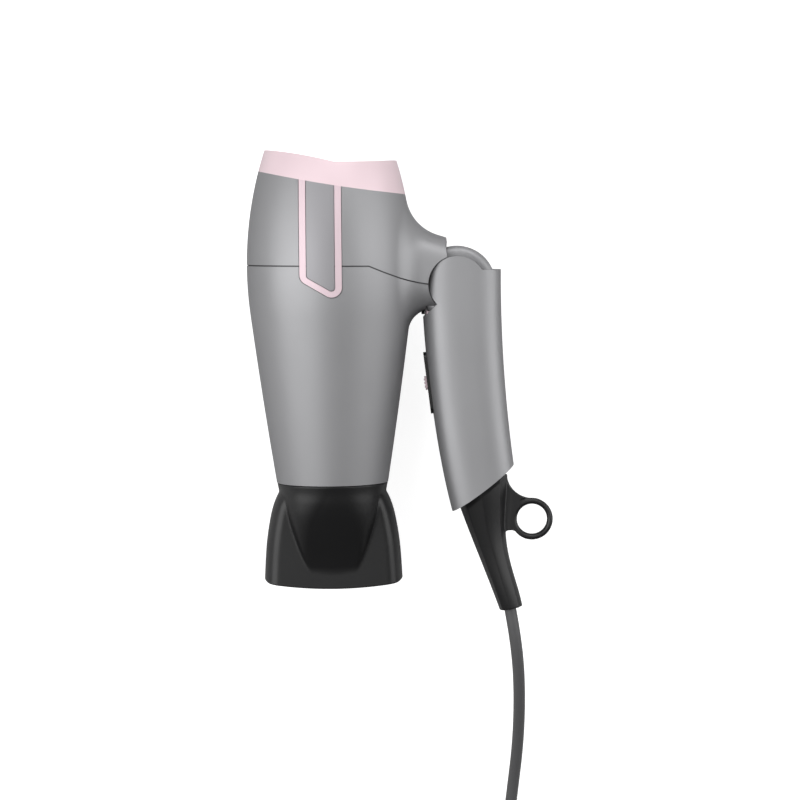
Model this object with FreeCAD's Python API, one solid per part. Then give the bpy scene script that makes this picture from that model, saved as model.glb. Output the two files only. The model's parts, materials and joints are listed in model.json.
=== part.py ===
import FreeCAD, Part
import math
import os

from FreeCAD import Vector

# Folding travel hair dryer, in millimetres, folded and lying on its side.
# While it is being built, the barrel's axis is Y with the air inlet at +Y and the outlet at -Y,
# X points from the barrel to the handle, and the fold axis is Z. The last step moves everything
# so that the middle of the dryer's footprint is the origin and the barrel's belly is at Z = 0.

# ---------------------------------------------------------------- general
wall = 2.2                   # housing walls
rib = 1.6                    # thin ribs, vanes and grille bars
touch_gap = 0.1              # between pieces that are pushed together
running_gap = 0.05           # radial clearance of a shaft or pivot in its hole
moving_gap = 0.4             # between faces that pass each other
far = 200.0                  # longer than any piece, for cutting tools

# ---------------------------------------------------------------- barrel
belly_radius = 37.25
rear_curve_radius = 165.0    # long arc from the belly to the inlet
front_curve_radius = 2500.0  # flatter arc from the belly to the outlet
curve_change_y = -21.0       # where one arc runs into the other
barrel_front_y = -96.5
ring_seam_y = 37.7           # seam between ring and housing, on the axis
ring_seam_tilt = -9.4        # degrees, lower towards the handle
ring_seam_dip = 1.6          # how much lower the seam is at the sides
rim_high = Vector(-28.3, 52.3, 0)
rim_crest = Vector(-12.0, 49.7, 0)
rim_step = Vector(3.0, 46.3, 0)
rim_dip = Vector(16.0, 46.4, 0)
rim_low = Vector(30.5, 47.2, 0)
inlet_radius = 26.2          # bore of the ring's skirt
skirt_wall = 1.8
skirt_foot_y = 30.4          # where the skirt stands on the housing's shelf
shelf_thickness = 2.2
grille_y = 41.0              # outer face of the inlet grille
grille_thickness = 1.8
grille_hole_radius = 1.55
grille_hole_pitch = 4.3
filter_y = 37.6
filter_wire = 0.6
filter_pitch = 3.4

# ---------------------------------------------------------------- neck and hinge
hinge_x = 56.8
hinge_y = -8.2
neck_root_x = 16.0
neck_tip_x = 60.0
neck_root_top = 24.2
neck_tip_top = 10.2
neck_bottom = -19.4
neck_root_half_depth = 17.0
neck_tip_half_depth = 16.0
neck_squareness = 2.8        # exponent of the superellipse sections
blend_top_radius = 20.0      # blend from barrel to neck, above and below
blend_bottom_radius = 10.5
neck_end_low = Vector(53.2, 4.4, 0)
neck_end_high = Vector(52.2, 13.0, 0)
neck_end_curve = 80.0        # radius of the neck's end, from its front to its back
neck_lip_angle = -137.8      # lower end of the neck, seen from the hinge
cheek_radius = 12.6
cheek_inner_z = 10.2
drum_radius = 17.1
drum_half_width = 9.8
drum_edge_radius = 3.2
drum_wall = 2.4
trunnion_radius = 6.0
trunnion_end_z = 13.4
washer_thickness = 0.3
washer_radius = 10.0
lead_radius = 1.6
fold_angle = 80.0            # how far the handle opens
lead_slot_z = 5.0
lead_exit_angle = -58.5      # where the handle's lead leaves the drum, folded
lead_slot_room = 8.5         # degrees of slot beyond the lead at either end of its sweep
lug_width = 5.0
lug_x = 36.0
lug_length = 10.0
lug_y = 1.5
lug_thickness = 3.0
lug_offset_z = 2.5

# ---------------------------------------------------------------- seam between the housings
seam_fall = 0.0115           # how much the seam falls towards the neck, for each millimetre
seam_points = [Vector(17.8, 0.5, 0), Vector(24.1, -2.2, 0), Vector(31.6, -5.1, 0), Vector(39.5, -7.2, 0)]
seam_groove = 0.3
seam_groove_depth = 0.6

# ---------------------------------------------------------------- side trims
trim_left_x = -12.5
trim_right_x = 6.0
trim_left_y = -5.5
trim_right_y = -16.2
trim_leg = 2.9
trim_bar = 2.6
trim_corner = 4.5
trim_inner_corner = 1.6
trim_depth = 1.2
trim_proud = 0.25
trim_gap = 0.25

# ---------------------------------------------------------------- fan, motor and heater
duct_radius = 28.6
duct_wall = 1.8
duct_top_y = 15.0
funnel_top_y = -6.0
funnel_foot_y = -41.0
flange_y = 9.6
flange_thickness = 2.0
flange_screw_radius = 32.6
screw_count = 3
screw_radius = 0.95
screw_head_radius = 1.75
screw_head_height = 1.2
fan_radius = 28.0
fan_hub_radius = 11.0
fan_low_y = -2.5
fan_high_y = 9.5
blade_count = 9
blade_angle = 38.0
motor_radius = 12.0
motor_low_y = -37.0
motor_high_y = -6.5
motor_cup_wall = 1.4
vane_count = 7
shaft_radius = 1.0
board_thickness = 1.2
sleeve_radius = 22.4
sleeve_wall = 0.7
mica_thickness = 0.8
mica_top_y = -42.0
mica_foot_y = -91.5
coil_ring_count = 5
coil_ring_radius = 16.5
coil_ring_half = 1.7
coil_seat_gap = 0.2
fuse_radius = 1.6
fuse_length = 9.0
thermostat_size = Vector(8.0, 11.0, 3.0)

# ---------------------------------------------------------------- outlet and nozzle
outlet_lip = 1.8
grid_thickness = 2.0
spigot_radius = 20.0
spigot_wall = 1.6
spigot_end_y = -107.5
grid_ring_radii = [4.5, 9.5, 14.5]
grid_spokes = 6
groove_y = -104.0
groove_width = 1.4
groove_depth = 0.8
snap_ring_proud = 0.6        # how far the snap ring stands out of the spigot
snap_ring_opening = 24.0     # degrees
nozzle_gap_y = 0.25
nozzle_bore_gap = 0.75       # round the spigot
collar_end_y = -100.2
collar_end_radius = 24.2
nozzle_mouth_y = -141.3
nozzle_mouth_bulge = 2.6
# stations of the nozzle's lofts: y, half width, half depth, squareness
core_stations = [(collar_end_y + 0.8, 24.2, 24.2, 2.0), (-108.0, 23.7, 21.9, 2.3), (-116.0, 21.0, 18.5, 2.9),
                 (-126.0, 17.3, 14.6, 4.2), (-138.0, 13.0, 10.2, 8.0)]
fan_stations = [(collar_end_y + 0.8, 23.2, 12.6, 4.0), (-106.0, 26.5, 12.2, 4.0), (-115.0, 28.7, 11.7, 4.2),
                (-126.0, 30.2, 11.4, 4.4), (-146.0, 31.4, 11.0, 4.6)]
nozzle_bore_stations = [(-101.0, 20.2, 20.2, 2.0), (-107.5, 20.4, 19.4, 2.1), (-116.0, 22.0, 14.9, 2.6),
                        (-127.0, 27.0, 9.4, 3.4), (-150.0, 29.3, 7.4, 4.6)]

# ---------------------------------------------------------------- cool-shot button
button_x = 44.2
button_width = 3.8
button_length = 9.0
button_end_y = -21.6
button_travel = 1.5
button_flange = 0.9
button_post = 1.7
bezel_margin = 1.5
bezel_end_y = -20.0
guard_end_y = -21.5          # the bezel's wall on the barrel's side
bay_x = 47.7
bay_top_y = -7.4
bay_half_depth = 7.0
micro_switch_half_depth = 5.0
spring_radius = 1.3
spring_wire = 0.2             # radius

# ---------------------------------------------------------------- handle
handle_stations = [(12.0, 59.4, 34.9, 31.2), (-30.0, 59.35, 34.9, 31.2), (-66.0, 62.3, 33.4, 30.0),
                   (-90.0, 65.5, 32.3, 28.6), (-116.0, 70.5, 30.4, 26.6)]
handle_squareness = 3.2
handle_top_y = -1.8
handle_lip_angle = -136.2
handle_end_inner = Vector(54.6, -109.5, 0)
handle_end_outer = Vector(81.6, -89.1, 0)
handle_end_bulge = 0.8
relief_seat = 8.0            # length of the relief held inside the handle
groove_from_end = 3.0
relief_rib = 1.4
cavity_top_left = Vector(43.0, -27.5, 0)
cavity_top_right = Vector(78.0, -14.5, 0)
handle_screw_places = [Vector(69.8, -37.0, 0), Vector(74.0, -74.5, 0)]
boss_radius = 2.9
handle_screw_radius = 1.25
handle_screw_head = 2.4
handle_screw_head_height = 1.6
handle_screw_depth = 9.0
handle_screw_sink = 1.2

# ---------------------------------------------------------------- switch in the handle
switch_centre = Vector(43.75, -52.4, 0)
switch_lean = 6.8            # degrees, follows the handle's inner face
switch_length = 27.5
switch_width = 13.0
switch_border = 2.6
switch_proud = 0.8
switch_seat = 1.4
switch_plate = 1.0           # how far the base plate goes below the bezel's seat
slider_length = 6.0
slider_width = 5.4
slider_rise = 1.5
slider_travel = 4.0
slider_stem = 1.8
switch_body_depth = 9.0
switch_body_width = 9.0
switch_body_length = 24.0

# ---------------------------------------------------------------- strain relief and loop
relief_stations = [(-94.0, 65.5, 13.2, 11.6), (-104.0, 67.0, 11.4, 10.4), (-120.0, 69.6, 8.2, 7.8),
                   (-138.0, 74.6, 6.3, 6.2), (-160.0, 80.9, 4.6, 4.6)]
relief_tip = Vector(79.45, -154.8, 0)
relief_tip_angle = 10.2      # degrees, how far the cord leaves off the barrel's direction
loop_centre = Vector(89.6, -114.3, 0)
loop_bore_radius = 6.8
loop_rim = 2.6
loop_thickness = 4.0
web_outline_top = [Vector(78.7, -95.6, 0), Vector(81.8, -101.6, 0), Vector(88.9, -104.93, 0)]
web_outline_foot = [Vector(84.0, -121.9, 0), Vector(80.0, -119.3, 0), Vector(76.4, -121.6, 0)]
web_root = [Vector(71.0, -117.0, 0), Vector(72.0, -98.0, 0)]
clamp_centre = Vector(65.0, -82.5, 0)
clamp_length = 7.0
clamp_half_width = 8.0
clamp_thickness = 2.4
clamp_screw_inset = 2.4
clamp_screw_depth = 5.0

# ---------------------------------------------------------------- cord
cord_diameter = 5.4
coil_raise = 1.0             # the tie under the coil lifts it by its thickness
inner_route = [relief_tip, Vector(74.9, -129.5, 0), Vector(67.2, -103.0, 0), Vector(63.9, -70.0, 0)]
cord_route = [relief_tip, Vector(81.9, -168.4, 0), Vector(83.8, -190.0, -7.0), Vector(83.6, -218.0, -19.5),
              Vector(80.7, -246.0, -30.6), Vector(77.6, -272.0, -33.9), Vector(76.6, -287.0, -33.5)]
coil_centre = Vector(41.0, -302.0, 0)
coil_turns_wide = 3
coil_turns_high = 3
coil_middle_radius = 30.0
tail_route = [Vector(27.8, -338.2, -22.8), Vector(14.8, -340.2, -23.7), Vector(1.8, -340.4, -24.3),
              Vector(-10.2, -339.0, -23.8)]
tie_angle = 140.0
tie_width = 10.0

# ---------------------------------------------------------------- plug
plug_length = 36.0
plug_face_width = 36.0
plug_face_height = 26.6
plug_face_length = 15.0
plug_neck_radius = 5.0
pin_radius = 2.4
pin_length = 19.0
pin_spacing = 19.0

button_seat_y = neck_bottom + wall + touch_gap
button_back_y = button_seat_y + button_flange
micro_switch_foot_y = button_back_y + button_post + button_travel + moving_gap
hinge = Vector(hinge_x, hinge_y, 0)
origin = Vector(0, 0, 0)
along_y = Vector(0, 1, 0)
along_z = Vector(0, 0, 1)


# ---------------------------------------------------------------- small helpers
def polar(radius, degrees, centre=hinge):
    """Point at a radius and an angle round a centre, in the fold plane."""
    turn = math.radians(degrees)
    return centre + Vector(radius * math.cos(turn), radius * math.sin(turn), 0)


def box(low, high):
    size = high - low
    return Part.makeBox(size.x, size.y, size.z, low)


def tube_y(radius, low, high, bore=0.0):
    """Cylinder along the barrel's axis, with a bore where one is given."""
    solid = Part.makeCylinder(radius, high - low, Vector(0, low, 0), along_y)
    if bore > 0:
        solid = solid.cut(Part.makeCylinder(bore, high - low, Vector(0, low, 0), along_y))
    return solid


def tube_z(centre, radius, low, high):
    """Cylinder along the fold axis's direction."""
    return Part.makeCylinder(radius, high - low, Vector(centre.x, centre.y, low), along_z)


def prism(edges, low, high):
    """Closed outline in the fold plane, made solid between two heights."""
    face = Part.Face(Part.Wire(edges))
    face.translate(Vector(0, 0, low))
    return face.extrude(Vector(0, 0, high - low))


def lines(points):
    return Part.makePolygon(points).Edges


def arc(start, middle, end):
    return Part.Arc(start, middle, end).toShape()


def mirror_z(shape):
    return shape.mirror(origin, along_z)


def both_sides(shape):
    """The shape and its mirror image in the fold plane, as one group."""
    return Part.makeCompound([shape, mirror_z(shape)])


def joined(shapes):
    """Shapes that touch or overlap, made into one solid."""
    return shapes[0].multiFuse(shapes[1:]).removeSplitter()


def rounded(corners, radii):
    """Edges of a polygon in the fold plane with a round corner at each point."""
    count = len(corners)
    edges = []
    cuts = []
    for index in range(count):
        here = corners[index]
        back = (corners[index - 1] - here).normalize()
        ahead = (corners[(index + 1) % count] - here).normalize()
        half = back.getAngle(ahead) / 2
        step = radii[index] / math.tan(half)
        middle = (back + ahead).normalize() * (radii[index] / math.sin(half) - radii[index])
        cuts.append((here + back * step, here + middle, here + ahead * step))
    for index in range(count):
        start, middle, end = cuts[index]
        edges.append(arc(start, middle, end))
        edges.append(Part.makeLine(end, cuts[(index + 1) % count][0]))
    return edges


def section(centre, half_across, half_deep, squareness, across, deep):
    """Closed superellipse on two directions, for lofts."""
    count = 32
    points = []
    for index in range(count):
        turn = 2 * math.pi * index / count
        side = math.copysign(abs(math.cos(turn)) ** (2 / squareness), math.cos(turn))
        rise = math.copysign(abs(math.sin(turn)) ** (2 / squareness), math.sin(turn))
        points.append(centre + across * (half_across * side) + deep * (half_deep * rise))
    curve = Part.BSplineCurve()
    curve.interpolate(points, PeriodicFlag=True)
    return Part.Wire(curve.toShape())


def route_edges(points):
    """Straight runs joined by tangent arcs, each as large as its two runs allow."""
    edges = []
    start = points[0]
    radii = []
    for before, corner, after in zip(points, points[1:], points[2:]):
        back = before - corner
        ahead = after - corner
        shorter = min(back.Length, ahead.Length)
        turn = math.pi - back.getAngle(ahead)
        step = 0.45 * shorter
        radius = step / math.tan(turn / 2)
        radii.append(radius)
        entry = corner + back.normalize() * step
        leave = corner + ahead.normalize() * step
        towards = (back + ahead).normalize()
        middle = corner + towards * (math.hypot(radius, step) - radius)
        edges.append(Part.LineSegment(start, entry).toShape())
        edges.append(arc(entry, middle, leave))
        start = leave
    edges.append(Part.LineSegment(start, points[-1]).toShape())
    return edges, radii


def tube_along(points, radius):
    """Round cord or lead along a route."""
    path = Part.Wire(route_edges(points)[0])
    circle = Part.Wire(Part.makeCircle(radius, points[0], points[1] - points[0]))
    return path.makePipeShell([circle], True, False)


# ---------------------------------------------------------------- barrel outline
def barrel_radius(y):
    """Radius of the barrel's outside at a station on its axis."""
    rear_centre = belly_radius - rear_curve_radius
    if y >= curve_change_y:
        return rear_centre + math.sqrt(rear_curve_radius ** 2 - y ** 2)
    change_radius = rear_centre + math.sqrt(rear_curve_radius ** 2 - curve_change_y ** 2)
    stretch = front_curve_radius / rear_curve_radius
    front_centre = change_radius + (rear_centre - change_radius) * stretch
    front_centre_y = curve_change_y * (1 - stretch)
    return front_centre + math.sqrt(front_curve_radius ** 2 - (y - front_centre_y) ** 2)


def barrel_form(inset, low, high):
    """Solid of revolution under the barrel's outside, between two stations."""
    def rim(y):
        return Vector(barrel_radius(y) - inset, y, 0)
    stations = [low, high]
    if low < curve_change_y < high:
        stations.insert(1, curve_change_y)
    edges = [arc(rim(a), rim((a + b) / 2), rim(b)) for a, b in zip(stations, stations[1:])]
    edges += lines([rim(high), Vector(0, high, 0), Vector(0, low, 0), rim(low)])
    return Part.Face(Part.Wire(edges)).revolve(origin, along_y, 360)


def neck_form(inset):
    """Neck from inside the barrel to past the hinge."""
    wires = []
    for x, top, half_deep in ((neck_root_x, neck_root_top, neck_root_half_depth),
                              (neck_tip_x, neck_tip_top, neck_tip_half_depth)):
        centre = Vector(x, (top + neck_bottom) / 2, 0)
        half_tall = (top - neck_bottom) / 2
        wires.append(section(centre, half_tall - inset, half_deep - inset, neck_squareness, along_y, along_z))
    return Part.makeLoft(wires, True, True)


def body_form():
    """Barrel and neck in one smooth outside, up to the highest point of the rim."""
    upper_half = box(Vector(-far, -far, 0), Vector(far, far, far))
    half = barrel_form(0, barrel_front_y, rim_high.y + 2).common(upper_half)
    half = half.fuse(neck_form(0).common(upper_half)).removeSplitter().Solids[0]
    creases = []
    for edge in half.Edges:
        middle = edge.valueAt((edge.FirstParameter + edge.LastParameter) / 2)
        on_barrel = abs(math.hypot(middle.x, middle.z) - barrel_radius(middle.y)) < 0.05
        if on_barrel and middle.z > 1 and neck_root_x < middle.x < hinge_x and neck_bottom < middle.y < neck_root_top:
            creases.append(edge)
    crease = max(creases, key=lambda edge: edge.BoundBox.YLength)
    radii = (blend_bottom_radius, blend_top_radius)
    if crease.valueAt(crease.FirstParameter).y > crease.valueAt(crease.LastParameter).y:
        radii = (blend_top_radius, blend_bottom_radius)
    half = half.makeFillet(radii[0], radii[1], [crease])
    return half.fuse(mirror_z(half)).removeSplitter()


def above_ring_seam():
    """Everything on the ring's side of the seam between ring and rear housing."""
    edges = [arc(Vector(0, -ring_seam_dip, -belly_radius), origin, Vector(0, -ring_seam_dip, belly_radius))]
    edges += lines([Vector(0, -ring_seam_dip, belly_radius), Vector(0, far, belly_radius),
                    Vector(0, far, -belly_radius), Vector(0, -ring_seam_dip, -belly_radius)])
    block = Part.Face(Part.Wire(edges)).extrude(Vector(far, 0, 0))
    block.translate(Vector(-far / 2, 0, 0))
    block.rotate(origin, along_z, ring_seam_tilt)
    block.translate(Vector(0, ring_seam_y, 0))
    return block


def below_rim(drop):
    """Everything under the ring's wavy rim, lowered by a drop."""
    down = Vector(0, -drop, 0)
    left = rim_high + (rim_high - rim_crest) + down
    right = rim_low + Vector(belly_radius, 0, 0) + down
    edges = [Part.makeLine(left, rim_high + down)]
    edges.append(arc(rim_high + down, rim_crest + down, rim_step + down))
    edges.append(arc(rim_step + down, rim_dip + down, rim_low + down))
    edges += lines([rim_low + down, right, Vector(right.x, -far, 0), Vector(left.x, -far, 0), left])
    return prism(edges, -belly_radius, belly_radius)


def above_seam(shift):
    """Everything on the inlet's side of the seam between the two housings."""
    curve = Part.BSplineCurve()
    end = Vector(44.0, hinge_y, 0)
    curve.interpolate(seam_points + [end], InitialTangent=Vector(1, -0.45, 0), FinalTangent=Vector(1, -0.15, 0))
    left = seam_points[0] + Vector(-far, far * seam_fall, 0)
    edges = [Part.makeLine(left, seam_points[0]), curve.toShape()]
    edges += lines([end, Vector(far, hinge_y, 0), Vector(far, far, 0), Vector(left.x, far, 0), left])
    block = prism(edges, -far, far)
    block.translate(Vector(0, shift, 0))
    return block


# ---------------------------------------------------------------- housings, ring and trims
def neck_trim():
    """Everything past the neck's end and lip, where the handle moves."""
    lip = polar(drum_radius * 1.5, neck_lip_angle)
    rise = neck_end_high - neck_end_low
    out = Vector(rise.y, -rise.x, 0).normalize()
    low = neck_end_low - rise * 0.8 - out
    high = neck_end_high + rise - out
    corner = Vector(far, lip.y, 0)
    past = prism(lines([hinge, lip, corner, Vector(far, high.y, 0), high, low, hinge]), -far, far)
    axis_foot = neck_end_low - rise - out * neck_end_curve
    rounding = Part.makeCylinder(neck_end_curve, rise.Length * 4, axis_foot, rise)
    inner = prism(lines([hinge, lip, corner, Vector(far, low.y, 0), low, hinge]), -far, far)
    return past.cut(rounding).fuse(inner)


def trim_outline(grow):
    """Corners of the side trim's outside, grown or shrunk evenly."""
    slope = (trim_right_y - trim_left_y) / (trim_right_x - trim_left_x)
    drop = grow * math.hypot(1, slope)
    left = trim_left_x - grow
    right = trim_right_x + grow
    low_left = Vector(left, trim_left_y - grow * slope - drop, 0)
    low_right = Vector(right, trim_right_y + grow * slope - drop, 0)
    top = ring_seam_y + 12.0
    return [Vector(left, top, 0), low_left, low_right, Vector(right, top, 0)]


def trim_block(grow, corner):
    """Prism over the side trim's outline on the upper side of the barrel."""
    return prism(rounded(trim_outline(grow), [0.5, corner, corner, 0.5]), neck_root_half_depth / 2, far)


def trim_window(shrink):
    """Prism over the space inside the side trim."""
    slope = (trim_right_y - trim_left_y) / (trim_right_x - trim_left_x)
    lift = (trim_bar + shrink) * math.hypot(1, slope)
    left = trim_left_x + trim_leg + shrink
    right = trim_right_x - trim_leg - shrink
    corners = trim_outline(0)
    low_left = Vector(left, trim_left_y + (left - trim_left_x) * slope + lift, 0)
    low_right = Vector(right, trim_left_y + (right - trim_left_x) * slope + lift, 0)
    points = [Vector(left, corners[0].y, 0), low_left, low_right, Vector(right, corners[0].y, 0)]
    return prism(rounded(points, [0.5, trim_inner_corner, trim_inner_corner, 0.5]), neck_root_half_depth / 2, far)


def barrel_shell_between(outer_inset, inner_inset):
    low = trim_right_y - 8
    high = ring_seam_y + 8
    return barrel_form(outer_inset, low, high).cut(barrel_form(inner_inset, low, high))


def make_side_trim():
    band = trim_block(0, trim_corner).cut(trim_window(0))
    return band.common(barrel_shell_between(-trim_proud, trim_depth)).cut(above_ring_seam()).Solids[0]


def make_side_panel():
    inlay = trim_window(trim_gap).common(barrel_shell_between(0, trim_depth))
    return inlay.cut(above_ring_seam()).Solids[0]


def button_outline(margin):
    """Edges of the cool-shot button's outline in the plane across the barrel, at Y = 0."""
    half_x = button_width / 2 + margin
    half_z = button_length / 2 + margin
    corners = [Vector(-half_x, -half_z, 0), Vector(half_x, -half_z, 0), Vector(half_x, half_z, 0),
               Vector(-half_x, half_z, 0)]
    return rounded(corners, [half_x * 0.8] * 4)


def button_block(margin, low, high):
    block = prism(button_outline(margin), 0, high - low)
    block.rotate(origin, Vector(1, 0, 0), -90)
    block.translate(Vector(button_x, low, 0))
    return block


def drum_solid(radius, half_width):
    return tube_z(hinge, radius, -half_width, half_width)


def neck_seat():
    """Space that the hinge drum and the handle's cheeks take out of the neck."""
    cheek = tube_z(hinge, cheek_radius + moving_gap, drum_half_width + touch_gap, far)
    return [drum_solid(drum_radius + touch_gap, drum_half_width + touch_gap), cheek, mirror_z(cheek)]


def housing_blank():
    """Both housings in one hollow piece, before the seam parts them."""
    shell = body_form()
    cavity = barrel_form(wall, barrel_front_y - 1, rim_high.y + 3).fuse(neck_form(wall))
    shell = shell.cut(cavity)
    return shell.cut(neck_seat() + [neck_trim(), above_ring_seam()])


def seam_slot():
    """Narrow groove round the outside where the two housings meet."""
    band = above_seam(-seam_groove / 2).cut(above_seam(seam_groove / 2))
    keep = barrel_form(seam_groove_depth, curve_change_y * 2, ring_seam_y).fuse(neck_form(seam_groove_depth))
    return band.cut(keep)


def trim_pockets():
    inside = barrel_form(trim_depth, trim_right_y - 9, ring_seam_y + 9)
    pocket = trim_block(trim_gap, trim_corner).cut(inside)
    return [pocket, mirror_z(pocket)]


def annulus_in_barrel(bore, low, high):
    """Flat ring that grows from the inside of the housing wall."""
    return barrel_form(wall / 2, low, high).cut(tube_y(bore, low - 1, high + 1))


def flange_screws(radius, low, high):
    """Cylinders at the fan duct's screw places."""
    solids = []
    for index in range(screw_count):
        turn = math.radians(90 + 360 / screw_count * index)
        place = Vector(flange_screw_radius * math.sin(turn) * -1, low, flange_screw_radius * math.cos(turn))
        solids.append(Part.makeCylinder(radius, high - low, place, along_y))
    return solids


def lug_block(margin):
    low = Vector(lug_x, lug_y, lug_offset_z)
    high = Vector(lug_x + lug_length, lug_y + lug_thickness, lug_offset_z + lug_width)
    grow = Vector(margin, 0, margin)
    return box(low - grow, high + grow)


def lug_screw(radius, low, high):
    place = Vector(lug_x + lug_width / 2, low, lug_offset_z + lug_width / 2)
    return Part.makeCylinder(radius, high - low, place, along_y)


def make_rear_housing(blank):
    shell = blank.common(above_seam(0))
    ledge = annulus_in_barrel(duct_radius + duct_wall + touch_gap, flange_y - 3.0, flange_y)
    ledge = ledge.cut(box(Vector(-1, flange_y - far, -far), Vector(far, flange_y + far, far)).common(
        neck_form(wall)))
    ledge = ledge.cut(flange_screws(screw_radius, flange_y - 5, flange_y + 1))
    shelf = annulus_in_barrel(inlet_radius - 2, skirt_foot_y - shelf_thickness, skirt_foot_y)
    post = box(Vector(lug_x, lug_y + lug_thickness, lug_offset_z),
               Vector(lug_x + lug_width, neck_root_top, lug_offset_z + lug_width)).common(neck_form(wall / 2))
    post = post.cut(lug_screw(screw_radius, lug_y, lug_y + lug_thickness + 4))
    solid = joined([shell, ledge, shelf, post, mirror_z(post)])
    return solid.cut(trim_pockets() + [seam_slot()])


def make_front_housing(blank):
    shell = blank.cut(above_seam(0))
    lip = barrel_form(wall / 2, barrel_front_y, barrel_front_y + outlet_lip).cut(
        tube_y(spigot_radius + touch_gap, barrel_front_y - 1, barrel_front_y + outlet_lip + 1))
    solid = joined([shell, lip])
    cuts = trim_pockets() + [seam_slot(), button_block(bezel_margin + running_gap, neck_bottom - 4, bay_top_y)]
    return solid.cut(cuts)


def make_ring():
    block = barrel_form(0, skirt_foot_y, rim_high.y + 2).common(above_ring_seam()).common(below_rim(0))
    lip_under = below_rim(wall)
    skirt_outer = inlet_radius + skirt_wall
    hollow = barrel_form(wall, skirt_foot_y - 1, rim_high.y + 3).common(lip_under)
    hollow = hollow.cut(tube_y(skirt_outer, 0, far))
    skirt = tube_y(skirt_outer, skirt_foot_y, rim_step.y - wall)
    ring = block.cut(hollow).fuse(skirt)
    return ring.cut(tube_y(inlet_radius, 0, far)).removeSplitter()


def hex_points(pitch, limit):
    """Centres of a honeycomb pattern inside a circle."""
    points = []
    rows = int(limit / pitch) + 2
    for row in range(-rows, rows + 1):
        for column in range(-rows, rows + 1):
            x = pitch * (column + (row % 2) / 2)
            z = pitch * row * math.sqrt(3) / 2
            if math.hypot(x, z) <= limit:
                points.append((x, z))
    return points


def make_inlet_grille():
    low = grille_y - grille_thickness
    disc = tube_y(inlet_radius - touch_gap, low, grille_y)
    foot = tube_y(inlet_radius - touch_gap, filter_y, low, inlet_radius - rib)
    holes = []
    for x, z in hex_points(grille_hole_pitch, inlet_radius - grille_hole_pitch):
        holes.append(Part.makeCylinder(grille_hole_radius, grille_thickness + 2, Vector(x, low - 1, z), along_y))
    return joined([disc, foot]).cut(holes)


def make_filter():
    """Lint filter: a rim on the ring's skirt and a net of round wires."""
    rim = tube_y(inlet_radius - touch_gap, filter_y - rib, filter_y, inlet_radius - 2 * rib)
    reach = inlet_radius - 1.5 * rib
    level = filter_y - rib / 2
    wires = []
    count = int(reach / filter_pitch)
    for index in range(-count, count + 1):
        offset = index * filter_pitch
        half = math.sqrt(reach ** 2 - offset ** 2)
        wires.append(Part.makeCylinder(filter_wire / 2, 2 * half, Vector(offset, level, -half), along_z))
        wires.append(Part.makeCylinder(filter_wire / 2, 2 * half, Vector(-half, level, offset), Vector(1, 0, 0)))
    return joined([rim] + wires)


def make_filter_post():
    """Short skirt that carries the lint filter on the housing's shelf."""
    return tube_y(inlet_radius - touch_gap, skirt_foot_y, filter_y - rib, inlet_radius - rib)


# ---------------------------------------------------------------- fan, motor and heater
def make_fan_duct():
    duct = tube_y(duct_radius + duct_wall, funnel_top_y, duct_top_y, duct_radius)
    foot_radius = sleeve_radius + touch_gap
    points = [Vector(duct_radius, funnel_top_y, 0), Vector(duct_radius + duct_wall, funnel_top_y, 0),
              Vector(foot_radius + duct_wall, funnel_foot_y, 0), Vector(foot_radius, funnel_foot_y, 0),
              Vector(duct_radius, funnel_top_y, 0)]
    funnel = Part.Face(Part.Wire(lines(points))).revolve(origin, along_y, 360)
    reach = barrel_radius(flange_y) - wall - touch_gap
    flange = tube_y(reach, flange_y, flange_y + flange_thickness, duct_radius + duct_wall / 2)
    flange = flange.cut(flange_screws(screw_radius + running_gap, flange_y - 1, flange_y + 4))
    neck_side = box(Vector(neck_root_x, -far, -far), Vector(far, far, far))
    flange = flange.cut(neck_form(wall - touch_gap).common(neck_side))
    cup = tube_y(motor_radius + motor_cup_wall, motor_low_y + 8, motor_high_y + motor_cup_wall, motor_radius)
    cap = tube_y(motor_radius + motor_cup_wall, motor_high_y, motor_high_y + motor_cup_wall, shaft_radius * 3)
    vanes = []
    vane_low = motor_low_y + 12
    for index in range(vane_count):
        vane = box(Vector(motor_radius + motor_cup_wall / 2, vane_low, -rib / 2),
                   Vector(duct_radius + duct_wall / 2, funnel_top_y, rib / 2))
        vane.rotate(origin, along_y, 360 / vane_count * (index + 0.5))
        vanes.append(vane)
    outer_reach = joined([duct, funnel]).fuse(tube_y(duct_radius + 0.2, funnel_top_y - 0.1, duct_top_y))
    space = Part.Face(Part.Wire(lines([
        Vector(0, funnel_foot_y, 0), Vector(foot_radius + duct_wall / 2, funnel_foot_y, 0),
        Vector(duct_radius + duct_wall / 2, funnel_top_y, 0), Vector(0, funnel_top_y, 0),
        Vector(0, funnel_foot_y, 0)]))).revolve(origin, along_y, 360)
    vanes = [vane.common(space) for vane in vanes]
    solid = joined([duct, funnel, flange, cup, cap] + vanes)
    return solid.cut(tube_along(barrel_lead_route(), lead_radius + moving_gap))


def barrel_lead_route():
    level = motor_low_y + 5
    return [Vector(motor_radius + motor_cup_wall + 3, level, 0), Vector(28.6, level, 0), Vector(31.5, -12.0, 0),
            Vector(41.0, -4.0, -1.5), Vector(51.0, -5.5, -5.0), Vector(hinge_x, hinge_y, -5.4),
            Vector(hinge_x, hinge_y, -touch_gap / 2)]


def make_motor():
    can = tube_y(motor_radius - running_gap, motor_low_y, motor_high_y)
    boss = tube_y(shaft_radius * 3 - running_gap, motor_high_y, motor_high_y + motor_cup_wall)
    bearing = tube_y(shaft_radius + running_gap, motor_high_y - 12, motor_high_y + 3)
    return joined([can, boss]).cut(bearing)


def make_motor_board():
    board = tube_y(motor_radius - 1, motor_low_y - board_thickness, motor_low_y)
    parts = [board]
    for index in range(4):
        turn = math.radians(45 + 90 * index)
        place = Vector(6 * math.cos(turn), motor_low_y - board_thickness - 2.2, 6 * math.sin(turn))
        parts.append(Part.makeCylinder(1.3, 2.2, place, along_y))
    return joined(parts)


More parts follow.
